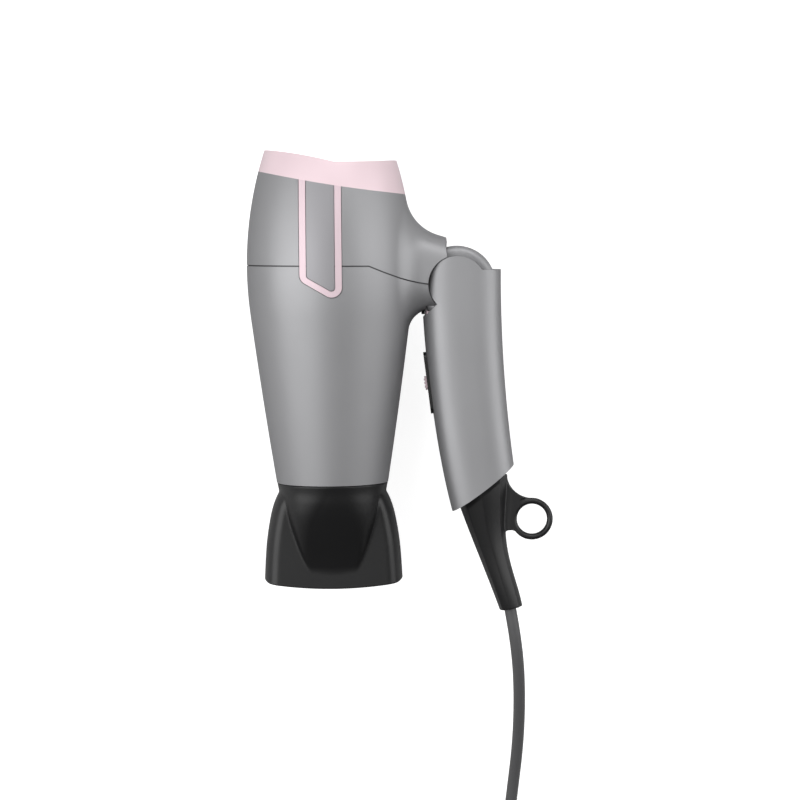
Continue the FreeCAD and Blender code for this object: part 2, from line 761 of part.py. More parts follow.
def make_shaft():
    return tube_y(shaft_radius, motor_high_y - 11.5, fan_high_y - 1.5)


def make_fan():
    hub = tube_y(fan_hub_radius, fan_low_y, fan_high_y)
    dome = Part.makeSphere(fan_hub_radius * 1.35, Vector(0, fan_high_y - 6.5, 0)).common(
        tube_y(fan_hub_radius, fan_low_y, fan_high_y + 8))
    hollow = tube_y(fan_hub_radius - rib, fan_low_y - 1, fan_high_y - 3)
    core = tube_y(shaft_radius * 2.6, fan_low_y, fan_high_y - 2)
    hub = joined([hub.common(dome.fuse(tube_y(fan_hub_radius, fan_low_y, fan_high_y - 3))).cut(hollow), core])
    height = fan_high_y - fan_low_y
    blades = []
    for index in range(blade_count):
        blade = box(Vector(fan_hub_radius - rib / 2, -height, -rib / 2), Vector(fan_radius + 3, height, rib / 2))
        blade.rotate(origin, Vector(1, 0, 0), blade_angle)
        blade.translate(Vector(0, (fan_low_y + fan_high_y) / 2, 0))
        blade.rotate(origin, along_y, 360 / blade_count * index)
        blades.append(blade.common(tube_y(fan_radius, fan_low_y + 0.8, fan_high_y - 2.5, fan_hub_radius - rib / 2)))
    return joined([hub] + blades).cut(tube_y(shaft_radius, fan_low_y - 1, fan_high_y - 1.5))


def make_sleeve():
    return tube_y(sleeve_radius, mica_foot_y - touch_gap, funnel_foot_y + 4, sleeve_radius - sleeve_wall)


def coil_stations():
    span = mica_top_y - mica_foot_y
    return [mica_foot_y + span * (index + 0.75) / (coil_ring_count + 0.5) for index in range(coil_ring_count)]


def heater_rings(half):
    rings = []
    for y in coil_stations():
        rings.append(Part.makeTorus(coil_ring_radius, half, Vector(0, y, 0), along_y))
    return rings


def make_mica():
    """Two slotted mica plates pushed together crosswise, with seats for the heating wire."""
    half = sleeve_radius - sleeve_wall - touch_gap
    plate = box(Vector(-half, mica_foot_y, -mica_thickness / 2), Vector(half, mica_top_y, mica_thickness / 2))
    cross = plate.copy()
    cross.rotate(origin, along_y, 90)
    return joined([plate, cross]).cut(heater_rings(coil_ring_half + coil_seat_gap))


def make_heater_wire():
    """The heating wire's turns, each at the outline of its coiled wire."""
    links = []
    stations = coil_stations()
    for low, high in zip(stations, stations[1:]):
        turn = math.radians(45)
        foot = Vector(coil_ring_radius * math.cos(turn), low, coil_ring_radius * math.sin(turn))
        links.append(Part.makeCylinder(0.5, high - low, foot, along_y))
    return joined(heater_rings(coil_ring_half) + links)


def make_thermostat():
    size = thermostat_size
    low = Vector(3.0, mica_foot_y + 3, mica_thickness / 2)
    return box(low, low + size)


def make_fuse():
    start = Vector(-12.0, mica_foot_y + 4, mica_thickness / 2 + fuse_radius)
    return Part.makeCylinder(fuse_radius, fuse_length, start, along_y)


# ---------------------------------------------------------------- outlet and nozzle
def make_outlet_grille():
    base = barrel_front_y + outlet_lip
    reach = barrel_radius(base + 0.2) - wall - touch_gap * 2
    flange = tube_y(reach, base, base + grid_thickness, spigot_radius - spigot_wall)
    spigot = tube_y(spigot_radius, spigot_end_y, base + 0.5, spigot_radius - spigot_wall)
    parts = [flange, spigot]
    for radius in grid_ring_radii:
        parts.append(tube_y(radius + rib / 2, base, base + grid_thickness, radius - rib / 2))
    for index in range(grid_spokes):
        spoke = box(Vector(0, base, -rib / 2), Vector(spigot_radius - spigot_wall / 2, base + grid_thickness, rib / 2))
        spoke.rotate(origin, along_y, 360 / grid_spokes * (index + 0.5))
        parts.append(spoke)
    groove = tube_y(far, groove_y, groove_y + groove_width, spigot_radius - groove_depth)
    return joined(parts).cut(groove)


def make_snap_ring():
    low = groove_y + running_gap * 2
    ring = tube_y(spigot_radius + snap_ring_proud, low, groove_y + groove_width - running_gap * 2,
                  spigot_radius - groove_depth + running_gap * 2)
    half = math.radians(snap_ring_opening / 2)
    wedge = prism(lines([origin, Vector(far, -far * math.tan(half), 0), Vector(far, far * math.tan(half), 0), origin]),
                  -far, far)
    wedge.rotate(origin, Vector(1, 0, 0), 90)
    wedge.rotate(origin, along_y, 180)
    return ring.cut(wedge)


def nozzle_loft(stations):
    wires = []
    for y, half_wide, half_deep, squareness in stations:
        wires.append(section(Vector(0, y, 0), half_wide, half_deep, squareness, Vector(1, 0, 0), along_z))
    return Part.makeLoft(wires, True, False)


def above_mouth():
    """Everything on the barrel's side of the nozzle's curved mouth."""
    side = fan_stations[-1][1] + 6
    level = nozzle_mouth_y + nozzle_mouth_bulge / 2
    left, right = Vector(-side, level, 0), Vector(side, level, 0)
    edges = [arc(left, Vector(0, nozzle_mouth_y - nozzle_mouth_bulge, 0), right)]
    edges += lines([right, Vector(side, 0, 0), Vector(-side, 0, 0), left])
    return prism(edges, -far, far)


def make_nozzle():
    """A round core that sinks into a flat fan, hollow from the spigot to the slot."""
    top = barrel_front_y - nozzle_gap_y
    collar = Part.makeCone(barrel_radius(barrel_front_y), collar_end_radius, top - collar_end_y,
                           Vector(0, top, 0), Vector(0, -1, 0))
    solid = joined([collar, nozzle_loft(core_stations), nozzle_loft(fan_stations)]).common(above_mouth())
    seat = tube_y(spigot_radius + nozzle_bore_gap, spigot_end_y, 0)
    return solid.cut([nozzle_loft(nozzle_bore_stations), seat])


# ---------------------------------------------------------------- hinge and cool-shot button
def button_bay():
    """Space beside the hinge drum for the cool-shot switch."""
    low = Vector(lug_x - lug_length, -far, -bay_half_depth)
    return box(low, Vector(bay_x, bay_top_y, bay_half_depth))


def lead_slot():
    """Slot in the drum's rim that the handle's lead sweeps along."""
    half = lead_radius + moving_gap
    reach = drum_radius * 2
    first = lead_exit_angle - lead_slot_room
    last = lead_exit_angle + fold_angle + lead_slot_room
    outline = [Part.makeLine(hinge, polar(reach, first)),
               arc(polar(reach, first), polar(reach, (first + last) / 2), polar(reach, last)),
               Part.makeLine(polar(reach, last), hinge)]
    return prism(outline, lead_slot_z - half, lead_slot_z + half)


def make_knuckle():
    drum = drum_solid(drum_radius, drum_half_width)
    rims = [edge for edge in drum.Edges if edge.Curve.TypeId == "Part::GeomCircle"]
    drum = drum.makeFillet(drum_edge_radius, rims)
    hollow = drum_solid(drum_radius - drum_wall, drum_half_width - drum_wall)
    drum = drum.cut([hollow, lead_slot()])
    window = box(Vector(hinge_x - drum_radius - 1, bay_top_y, -7.2), Vector(hinge_x - 8, 0.8, 2.2))
    drum = drum.cut([button_bay(), window])
    lug = lug_block(0)
    trunnion = tube_z(hinge, trunnion_radius, drum_half_width - drum_wall, trunnion_end_z)
    solid = joined([drum, lug, mirror_z(lug), trunnion, mirror_z(trunnion)])
    hole = lug_screw(screw_radius + running_gap, lug_y - 1, lug_y + lug_thickness + 1)
    return solid.cut([hole, mirror_z(hole)])


def make_washers():
    high = cheek_inner_z
    washer = tube_z(hinge, washer_radius, high - washer_thickness, high)
    washer = washer.cut(tube_z(hinge, trunnion_radius + moving_gap, 0, far))
    return both_sides(washer)


def screw_y(place, reach, head_side):
    """Screw along the barrel's axis: the shank goes to +Y, the head lies on the other side."""
    shank = Part.makeCylinder(screw_radius, reach, place, along_y)
    head = Part.makeCylinder(screw_head_radius, screw_head_height, place - Vector(0, screw_head_height, 0), along_y)
    slot = box(place + Vector(-0.25, -screw_head_height - 1, -far), place + Vector(0.25, -screw_head_height + 0.6, far))
    screw = shank.fuse(head).removeSplitter().cut(slot)
    if head_side > 0:
        screw.rotate(place, Vector(1, 0, 0), 180)
    return screw


def make_knuckle_screws():
    place = Vector(lug_x + lug_width / 2, lug_y, lug_offset_z + lug_width / 2)
    return both_sides(screw_y(place, lug_thickness + 3, -1))


def make_duct_screws():
    screws = []
    for index in range(screw_count):
        turn = math.radians(90 + 360 / screw_count * index)
        x = -flange_screw_radius * math.sin(turn)
        place = Vector(x, flange_y + flange_thickness, flange_screw_radius * math.cos(turn))
        screws.append(screw_y(place, flange_thickness + 2.6, 1))
    return Part.makeCompound(screws)


def make_bezel():
    top = neck_bottom + wall
    ring = button_block(bezel_margin, guard_end_y, top)
    inner = button_block(running_gap * 2, guard_end_y - 1, top + 1)
    edge = button_x - button_width / 2 - running_gap * 2
    short = box(Vector(edge, guard_end_y - 1, -far), Vector(far, bezel_end_y, far))
    return ring.cut([inner, short])


def make_button():
    cap = button_block(0, button_end_y, button_seat_y)
    flange = button_block(bezel_margin / 2, button_seat_y, button_back_y)
    foot = Vector(button_x, button_back_y - touch_gap, 0)
    post = Part.makeCylinder(spring_radius - 2 * spring_wire - touch_gap, button_post + touch_gap, foot, along_y)
    return joined([cap, flange, post])


def make_micro_switch():
    half = bay_x - button_x
    low = Vector(button_x - half, micro_switch_foot_y, -micro_switch_half_depth)
    body = box(low, Vector(bay_x, bay_top_y, micro_switch_half_depth))
    return body


def make_button_spring():
    height = micro_switch_foot_y - button_back_y
    turns_height = height - 2 * spring_wire
    helix = Part.makeHelix(turns_height / 3.5, turns_height, spring_radius - spring_wire)
    circle = Part.Wire(Part.makeCircle(spring_wire, Vector(spring_radius - spring_wire, 0, 0), along_y))
    wire = Part.Wire(helix).makePipeShell([circle], True, True)
    wire.rotate(origin, Vector(1, 0, 0), -90)
    wire.translate(Vector(button_x, button_back_y + spring_wire, 0))
    return wire


# ---------------------------------------------------------------- handle
def handle_form(inset):
    wires = []
    for y, middle, width, depth in handle_stations:
        wires.append(section(Vector(middle, y, 0), width / 2 - inset, depth / 2 - inset, handle_squareness,
                             Vector(1, 0, 0), along_z))
    return Part.makeLoft(wires, True, False)


def end_curve(shift):
    """Handle's slanted end, moved into the handle by a shift, as three points of an arc."""
    chord = handle_end_outer - handle_end_inner
    outward = Vector(chord.y, -chord.x, 0).normalize()
    middle = (handle_end_inner + handle_end_outer) / 2
    reach = 1.3
    start = middle - chord * (reach / 2)
    end = middle + chord * (reach / 2)
    bulge = handle_end_bulge * reach ** 2
    flat = outward * (bulge - handle_end_bulge)
    return [start - flat - outward * shift, middle + outward * (handle_end_bulge - shift), end - flat - outward * shift]


def handle_side():
    """The handle's side view: a round cheek over the hinge, a flat shoulder and the slanted end."""
    start, middle, end = end_curve(0)
    shoulder = math.degrees(math.asin((handle_top_y - hinge_y) / cheek_radius))
    right = Vector(far, handle_top_y, 0)
    edges = [arc(polar(cheek_radius, handle_lip_angle), polar(cheek_radius, 120), polar(cheek_radius, shoulder))]
    edges += lines([polar(cheek_radius, shoulder), right, Vector(far, end.y, 0), end])
    edges.append(arc(end, middle, start))
    edges += lines([start, Vector(-far / 4, start.y, 0), Vector(-far / 4, polar(40, handle_lip_angle).y, 0),
                    polar(40, handle_lip_angle), polar(cheek_radius, handle_lip_angle)])
    return prism(edges, -far, far)


def end_band(near, deep):
    """Slice of the handle between two distances from its slanted end."""
    a = end_curve(near)
    b = end_curve(deep)
    edges = [arc(a[0], a[1], a[2]), Part.makeLine(a[2], b[2]), arc(b[2], b[1], b[0]), Part.makeLine(b[0], a[0])]
    return prism(edges, -far, far)


def handle_cavity():
    inner = handle_form(wall)
    start, middle, end = end_curve(-6)
    edges = lines([cavity_top_left, Vector(cavity_top_left.x - 20, cavity_top_left.y, 0), Vector(start.x - 20, start.y, 0),
                   start])
    edges.append(arc(start, middle, end))
    edges += lines([end, Vector(cavity_top_right.x + 20, end.y, 0),
                    Vector(cavity_top_right.x + 20, cavity_top_right.y, 0), cavity_top_right, cavity_top_left])
    return inner.common(prism(edges, -far, far))


def relief_rib_band():
    """Rib round the inside of the handle's end that holds the strain relief."""
    outer = handle_form(wall - 0.05)
    inner = handle_form(wall + relief_rib)
    return outer.cut(inner).common(end_band(groove_from_end, groove_from_end + rib))


def place_switch(shape):
    """Turns a piece built round the switch plate's middle, outward along +X, to its place."""
    shape = shape.copy()
    shape.rotate(origin, along_z, 180 + switch_lean)
    shape.translate(switch_centre)
    return shape


def plate_block(length, width, corner, low, high):
    """Rounded plate across X in the switch's own frame, long along Y."""
    half_y = length / 2
    half_z = width / 2
    corners = [Vector(-half_z, -half_y, 0), Vector(half_z, -half_y, 0), Vector(half_z, half_y, 0),
               Vector(-half_z, half_y, 0)]
    block = prism(rounded(corners, [corner] * 4), low, high)
    block.rotate(origin, along_y, 90)
    return block


def switch_pocket():
    seat = plate_block(switch_length + 2 * touch_gap, switch_width + 2 * touch_gap, 3.0, -switch_seat, far / 20)
    through = plate_block(switch_length - 2 * switch_border, switch_width - 2 * switch_border, 1.2, -6, far / 20)
    room = plate_block(switch_body_length + 2 * touch_gap, switch_body_width + 2 * touch_gap, 0.8,
                       -switch_body_depth, touch_gap - switch_seat - switch_plate)
    return [place_switch(seat), place_switch(through), place_switch(room)]


def button_notch():
    """Room in the handle's top for the cool-shot button when the dryer is folded."""
    high = Vector(bay_x + bezel_margin, far, bay_half_depth)
    return box(Vector(0, button_end_y - 1, -bay_half_depth), high)


def screw_hole(place, radius, low, high):
    return tube_z(place, radius, low, high)


def handle_half_depth():
    return handle_stations[1][3] / 2


def screw_head_z():
    return -handle_half_depth() + handle_screw_sink + handle_screw_head_height


def make_handle_shells():
    """Both halves of the handle, parted on the dryer's middle plane."""
    side = handle_side()
    solid = handle_form(0).common(side)
    shell = solid.cut([handle_cavity(), drum_solid(drum_radius + moving_gap, cheek_inner_z), button_notch()])
    shell = shell.cut(drum_solid(trunnion_radius + running_gap, trunnion_end_z + touch_gap))
    bosses = []
    sinks = []
    limit = handle_form(wall / 2).common(side)
    for place in handle_screw_places:
        bosses.append(tube_z(place, boss_radius, -far, far).common(limit))
        sinks.append(screw_hole(place, handle_screw_radius + running_gap, -far, touch_gap))
        sinks.append(screw_hole(place, handle_screw_radius, 0, handle_screw_depth))
        sinks.append(screw_hole(place, handle_screw_head + touch_gap, -far, screw_head_z()))
    band = relief_rib_band()
    clamp_seat = clamp_block(0, handle_half_depth() * 2).common(limit)
    shell = shell.multiFuse(bosses + [band, clamp_seat]).cut(sinks + switch_pocket())
    shell = shell.cut(tube_along(inner_route, cord_diameter / 2 + running_gap))
    cut = box(Vector(-far, -far, 0), Vector(far, far, far))
    front = shell.common(cut)
    back = shell.cut(cut)
    return biggest(front), biggest(back)


def biggest(shape):
    return max(shape.Solids, key=lambda solid: solid.Volume)


def make_handle_screws():
    screws = []
    for place in handle_screw_places:
        head = tube_z(place, handle_screw_head, screw_head_z() - handle_screw_head_height, screw_head_z())
        shank = tube_z(place, handle_screw_radius, screw_head_z(), handle_screw_depth - 1)
        cross = box(Vector(-0.4, -1.6, -far), Vector(0.4, 1.6, screw_head_z() - 0.6))
        other = box(Vector(-1.6, -0.4, -far), Vector(1.6, 0.4, screw_head_z() - 0.6))
        cross = cross.fuse(other)
        cross.translate(Vector(place.x, place.y, 0))
        screws.append(head.fuse(shank).cut(cross).removeSplitter())
    return Part.makeCompound(screws)


def clamp_block(low_z, high_z):
    """Bridge over the cord inside the handle, or the seat under it."""
    reach = Vector(clamp_half_width, clamp_length / 2, 0)
    return box(clamp_centre - reach + Vector(0, 0, low_z), clamp_centre + reach + Vector(0, 0, high_z))


def make_clamp():
    bridge = clamp_block(-cord_diameter / 2 - clamp_thickness, 0)
    return bridge.cut([tube_along(inner_route, cord_diameter / 2 + running_gap)] + clamp_screw_tools(
        screw_radius + running_gap))


def clamp_screw_tools(radius):
    """Cylinders at the clamp's two screw places."""
    inset = clamp_half_width - clamp_screw_inset
    return [tube_z(clamp_centre + Vector(side * inset, 0, 0), radius, -cord_diameter / 2 - clamp_thickness,
                   clamp_screw_depth) for side in (-1, 1)]


def make_clamp_screws():
    screws = []
    for shank in clamp_screw_tools(screw_radius):
        foot = shank.BoundBox.ZMin
        centre = Vector(shank.CenterOfMass.x, shank.CenterOfMass.y, 0)
        head = tube_z(centre, screw_head_radius, foot - screw_head_height, foot)
        screws.append(head.fuse(shank).removeSplitter())
    return Part.makeCompound(screws)


# ---------------------------------------------------------------- switch
def make_switch_bezel():
    outer = plate_block(switch_length, switch_width, 3.0, -switch_seat, switch_proud)
    inner = plate_block(switch_length - 2 * switch_border + touch_gap, switch_width - 2 * switch_border + touch_gap,
                        1.2, -far, far)
    return place_switch(outer.cut(inner))


def make_switch_base():
    length = switch_length - 2 * switch_border - touch_gap
    width = switch_width - 2 * switch_border - touch_gap
    plate = plate_block(length, width, 1.2, -switch_seat - switch_plate, switch_proud - 0.7)
    slot = plate_block(2 * slider_travel + slider_stem + 1.2, slider_stem + 2 * moving_gap, 0.8, -far, far)
    return place_switch(plate.cut(slot))


def make_slider():
    foot = switch_proud - 0.7 + touch_gap
    cap = plate_block(slider_length, slider_width, 1.2, foot, foot + slider_rise)
    ridges = []
    for offset in (-1.6, 0.0, 1.6):
        ridge = plate_block(0.7, slider_width - 1.4, 0.3, foot + slider_rise - 0.2, foot + slider_rise + 0.35)
        ridge.translate(Vector(0, offset, 0))
        ridges.append(ridge)
    stem = plate_block(slider_stem, slider_stem, 0.5, -switch_seat - 1.8, foot + 0.3)
    return place_switch(joined([cap, stem] + ridges))


def make_switch_body():
    top = -switch_seat - switch_plate
    body = plate_block(switch_body_length, switch_body_width, 0.8, top - switch_body_depth, top)
    slot = plate_block(2 * slider_travel + slider_stem + 1.2, slider_stem + 2 * moving_gap, 0.8, top - 1.5, far)
    pins = []
    for offset in (-7.5, 0.0, 7.5):
        pin = plate_block(1.0, 2.4, 0.3, top - switch_body_depth - 2.6, top - switch_body_depth + 0.2)
        pin.translate(Vector(0, offset, 0))
        pins.append(pin)
    return place_switch(joined([body.cut(slot)] + pins))


def switch_point(along):
    """Point on the middle line of the switch's body, at a distance from its middle."""
    depth = switch_seat + switch_plate + switch_body_depth / 2
    return place_switch(Part.Vertex(Vector(-depth, along, 0))).Point


def handle_lead_route():
    down = Vector(0, 0, lead_slot_z)
    leave = polar(drum_radius + moving_gap + 1.0, lead_exit_angle) + down
    end = -switch_body_length / 2 - touch_gap
    return [hinge + Vector(0, 0, touch_gap / 2), hinge + down, leave, Vector(66.0, -30.5, 5.0),
            switch_point(end - 7.5), switch_point(end)]


# ---------------------------------------------------------------- strain relief with hanging loop
def make_relief():
    wires = []
    for y, middle, half_wide, half_deep in relief_stations:
        wires.append(section(Vector(middle, y, 0), half_wide, half_deep, 2.3, Vector(1, 0, 0), along_z))
    body = Part.makeLoft(wires, True, False)
    inside = end_band(0, relief_seat)
    plug = handle_form(wall + touch_gap).common(inside)
    start, middle, end = end_curve(0)
    outside = prism([arc(start, middle, end)] + lines([end, Vector(far, end.y, 0), Vector(far, -far, 0),
                    Vector(start.x, -far, 0), start]), -far, far)
    body = body.common(outside)
    tip = math.radians(relief_tip_angle)
    tip_cut = Part.makeBox(40, 40, 40, Vector(-20, -40, -20))
    tip_cut.rotate(origin, along_z, relief_tip_angle)
    tip_cut.translate(relief_tip)
    web_edges = [arc(*web_outline_top), Part.makeLine(web_outline_top[2], web_outline_foot[0]), arc(*web_outline_foot)]
    web_edges += lines([web_outline_foot[2], web_root[0], web_root[1], web_outline_top[0]])
    half = loop_thickness / 2
    web = prism(web_edges, -half, half)
    rim = tube_z(loop_centre, loop_bore_radius + loop_rim, -half, half)
    bore = tube_z(loop_centre, loop_bore_radius, -far, far)
    solid = joined([body, plug, web.common(outside), rim]).cut([bore, tip_cut])
    groove = handle_form(0).cut(handle_form(wall + relief_rib + touch_gap))
    groove = groove.common(end_band(groove_from_end - touch_gap, groove_from_end + rib + touch_gap))
    return biggest(solid.cut([groove, tube_along(inner_route, cord_diameter / 2 + running_gap)]))


# ---------------------------------------------------------------- cord, coil and plug
def floor_z():
    return -belly_radius


def make_coil():
    half_wide = coil_turns_wide * cord_diameter / 2
    tall = coil_turns_high * cord_diameter
    low = floor_z() + coil_raise
    ring = tube_z(coil_centre, coil_middle_radius + half_wide, low, low + tall)
    ring = ring.cut(tube_z(coil_centre, coil_middle_radius - half_wide, low, low + tall))
    return ring.makeFillet(cord_diameter * 0.4, ring.Edges)


def make_tie():
    half_wide = coil_turns_wide * cord_diameter / 2
    tall = coil_turns_high * cord_diameter
    low = floor_z() + coil_raise
    inner = box(Vector(coil_middle_radius - half_wide, -tie_width, low),
                Vector(coil_middle_radius + half_wide, tie_width, low + tall))
    outer = box(Vector(coil_middle_radius - half_wide - coil_raise, -tie_width / 2, low - coil_raise),
                Vector(coil_middle_radius + half_wide + coil_raise, tie_width / 2, low + tall + coil_raise))
    tie = outer.cut(inner)
    tie.rotate(origin, along_z, tie_angle)
    tie.translate(Vector(coil_centre.x, coil_centre.y, 0))
    return tie.cut(make_coil())


def place_plug(shape):
    """Turns a plug built along +X from its cord end to where the cord's tail ends."""
    before, end = tail_route[-2:]
    run = end - before
    shape.rotate(origin, along_z, math.degrees(math.atan2(run.y, run.x)))
    shape.translate(Vector(end.x, end.y, floor_z() + plug_face_height / 2))
    return shape


def make_plug_body():
    across = along_y
    wires = []
    profile = [(0.0, plug_neck_radius, plug_neck_radius, 2.0), (9.0, plug_neck_radius + 1.6, plug_neck_radius + 1.2, 2.2),
               (plug_length - plug_face_length, plug_face_width / 2 - 2, plug_face_height / 2 - 1.5, 2.8),
               (plug_length - plug_face_length + 5, plug_face_width / 2, plug_face_height / 2, 2.8),
               (plug_length, plug_face_width / 2, plug_face_height / 2, 2.8)]
    for x, half_wide, half_tall, squareness in profile:
        wires.append(section(Vector(x, 0, 0), half_wide, half_tall, squareness, across, along_z))
    solid = Part.makeLoft(wires, True, True)
    holes = []
    for side in (-1, 1):
        start = Vector(plug_length - 8, side * pin_spacing / 2, 0)
        holes.append(Part.makeCylinder(pin_radius, 10, start, Vector(1, 0, 0)))
    return place_plug(solid.cut(holes))


def make_pins():
    pins = []
    for side in (-1, 1):
        start = Vector(plug_length - 8, side * pin_spacing / 2, 0)
        pin = Part.makeCylinder(pin_radius, 8 + pin_length, start, Vector(1, 0, 0))
        tip = [edge for edge in pin.Edges if edge.BoundBox.XMin > plug_length + 1 and edge.BoundBox.XLength < 0.1]
        pins.append(pin.makeFillet(pin_radius * 0.6, tip))
    return place_plug(Part.makeCompound(pins))


# ---------------------------------------------------------------- all pieces
def make_pieces():
    blank = housing_blank()
    front_shell, back_shell = make_handle_shells()
    front_shell = front_shell.cut(clamp_screw_tools(screw_radius))
    trim = make_side_trim()
    panel = make_side_panel()
    return {
        "rear_housing": make_rear_housing(blank),
        "front_housing": make_front_housing(blank),
        "rear_ring": make_ring(),
        "inlet_grille": make_inlet_grille(),
        "lint_filter": make_filter(),
        "filter_skirt": make_filter_post(),
        "side_trim_front": trim,
        "side_trim_back": mirror_z(trim),
        "side_panel_front": panel,
        "side_panel_back": mirror_z(panel),
        "fan_duct": make_fan_duct(),
        "duct_screws": make_duct_screws(),
        "motor_can": make_motor(),
        "motor_board": make_motor_board(),
        "motor_shaft": make_shaft(),
        "fan_rotor": make_fan(),
        "heater_sleeve": make_sleeve(),
        "mica_cross": make_mica(),
        "heater_wire": make_heater_wire(),
        "thermostat": make_thermostat(),
        "thermal_fuse": make_fuse(),
        "outlet_grille": make_outlet_grille(),
        "nozzle_snap_ring": make_snap_ring(),
        "concentrator_nozzle": make_nozzle(),
        "hinge_knuckle": make_knuckle(),
        "knuckle_screws": make_knuckle_screws(),
        "hinge_washers": make_washers(),
        "barrel_lead": tube_along(barrel_lead_route(), lead_radius),
        "cool_shot_bezel": make_bezel(),
        "cool_shot_button": make_button(),
        "cool_shot_spring": make_button_spring(),
        "cool_shot_switch": make_micro_switch(),
        "handle_front_shell": front_shell,
        "handle_back_shell": back_shell,
        "handle_screws": make_handle_screws(),
        "handle_lead": tube_along(handle_lead_route(), lead_radius),
        "switch_bezel": make_switch_bezel(),
        "switch_base": make_switch_base(),
        "speed_slider": make_slider(),
        "switch_body": make_switch_body(),
        "strain_relief": make_relief(),
        "cord_clamp": make_clamp(),
        "clamp_screws": make_clamp_screws(),
        "inner_cord": tube_along(inner_route, cord_diameter / 2),
        "power_cord": tube_along(cord_route, cord_diameter / 2),
        "cord_coil": make_coil(),
        "coil_tie": make_tie(),
        "cord_tail": tube_along(tail_route, cord_diameter / 2),
        "plug_body": make_plug_body(),
        "plug_pins": make_pins(),
    }


cord_pieces = ["power_cord", "cord_coil", "coil_tie", "cord_tail", "plug_body", "plug_pins"]


def footprint_shift(pieces):
    """Move that puts the middle of the dryer's footprint at the origin and its belly at Z = 0."""
    bounds = FreeCAD.BoundBox()
    for name, shape in pieces.items():
        if name not in cord_pieces:
            bounds.add(shape.optimalBoundingBox(True, False))
    return Vector(-bounds.Center.x, -bounds.Center.y, -bounds.ZMin)


def main():
    pieces = make_pieces()
    shift = footprint_shift(pieces)
    os.makedirs("parts", exist_ok=True)
    for name, shape in pieces.items():
        shape = shape.copy()
        shape.translate(shift)
        shape.exportStep("parts/" + name + ".step")
    for name, route in (("power_cord", cord_route), ("cord_tail", tail_route)):
        edges, radii = route_edges(route)
        print(name, "length", round(sum(edge.Length for edge in edges), 1), "radii", [round(r) for r in radii])
    print("moved by", shift)
    return pieces, shift


main()
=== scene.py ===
import json
import math

import bpy
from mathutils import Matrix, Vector


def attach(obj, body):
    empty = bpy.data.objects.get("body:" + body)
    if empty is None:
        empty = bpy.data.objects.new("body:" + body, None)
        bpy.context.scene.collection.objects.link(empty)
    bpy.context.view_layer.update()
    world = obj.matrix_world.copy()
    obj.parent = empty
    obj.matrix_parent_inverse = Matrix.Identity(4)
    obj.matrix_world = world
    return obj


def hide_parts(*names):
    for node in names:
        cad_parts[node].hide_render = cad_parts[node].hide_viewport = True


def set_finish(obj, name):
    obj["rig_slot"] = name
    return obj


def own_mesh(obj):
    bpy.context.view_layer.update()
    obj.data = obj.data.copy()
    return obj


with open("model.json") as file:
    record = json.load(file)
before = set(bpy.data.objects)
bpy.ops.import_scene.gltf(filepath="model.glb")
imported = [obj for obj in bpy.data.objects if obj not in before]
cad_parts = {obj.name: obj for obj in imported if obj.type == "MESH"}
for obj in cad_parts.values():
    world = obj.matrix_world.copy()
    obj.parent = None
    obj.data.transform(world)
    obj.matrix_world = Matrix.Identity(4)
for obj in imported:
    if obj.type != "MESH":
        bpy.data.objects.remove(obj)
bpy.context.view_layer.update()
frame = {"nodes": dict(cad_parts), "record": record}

# Positions are written in millimetres as in the part's drawing: the barrel's axis is Y, the
# inlet is at +Y, X goes towards the handle, and the fold axis is Z.
MM = 0.001
DRAWING_ORIGIN = Vector((-30.875, 51.634, 37.372))


def place(x, y, z=0.0):
    """Point of the drawing in the frame's metres."""
    return (Vector((x, y, z)) + DRAWING_ORIGIN) * MM


# ---------------------------------------------------------------- camera
# a long lens high over the object, looking almost straight down
CAMERA_SPOT = (31.53, 14.74, 1237.5)
CAMERA_TILT = -3.461
CAMERA_ROLL = -0.612
CAMERA_LENS = 124.09
CAMERA_SENSOR = 36.0


def make_camera():
    data = bpy.data.cameras.new("camera")
    data.lens = CAMERA_LENS
    data.sensor_width = CAMERA_SENSOR
    data.clip_start = 0.1
    data.clip_end = 20.0
    camera = bpy.data.objects.new("camera", data)
    bpy.context.collection.objects.link(camera)
    camera.location = place(*CAMERA_SPOT)
    camera.rotation_euler = (math.radians(CAMERA_TILT), 0.0, math.radians(CAMERA_ROLL))
    bpy.context.scene.camera = camera


# ---------------------------------------------------------------- cord
CORD_DIAMETER = 5.4
CORD_ROUTE = [(79.45, -154.8, 0), (81.9, -168.4, 0), (83.8, -190.0, -7.0), (83.6, -218.0, -19.5),
              (80.7, -246.0, -30.6), (77.6, -272.0, -33.9), (76.6, -287.0, -33.5)]
TAIL_ROUTE = [(27.8, -338.2, -22.8), (14.8, -340.2, -23.7), (1.8, -340.4, -24.3), (-10.2, -339.0, -23.8)]
COIL_CENTRE = (41.0, -302.0)
COIL_MIDDLE_RADIUS = 30.0
COIL_FLOOR = -36.25
# place of each stretch of the coil in the bundle's section, in cord widths outwards and upwards
COIL_SLOTS = [(1, 0), (0, 0), (-1, 0), (-1, 1), (-1, 2), (0, 2), (0, 1), (1, 1), (1, 2)]
COIL_FIRST_ANGLE = 8.0
COIL_LAST_ANGLE = -8 * 360.0 - 98.0
COIL_STEP = 24.0             # turn between two points of the coil
COIL_CROSSING = 60.0         # turn in which the cord moves to its next place


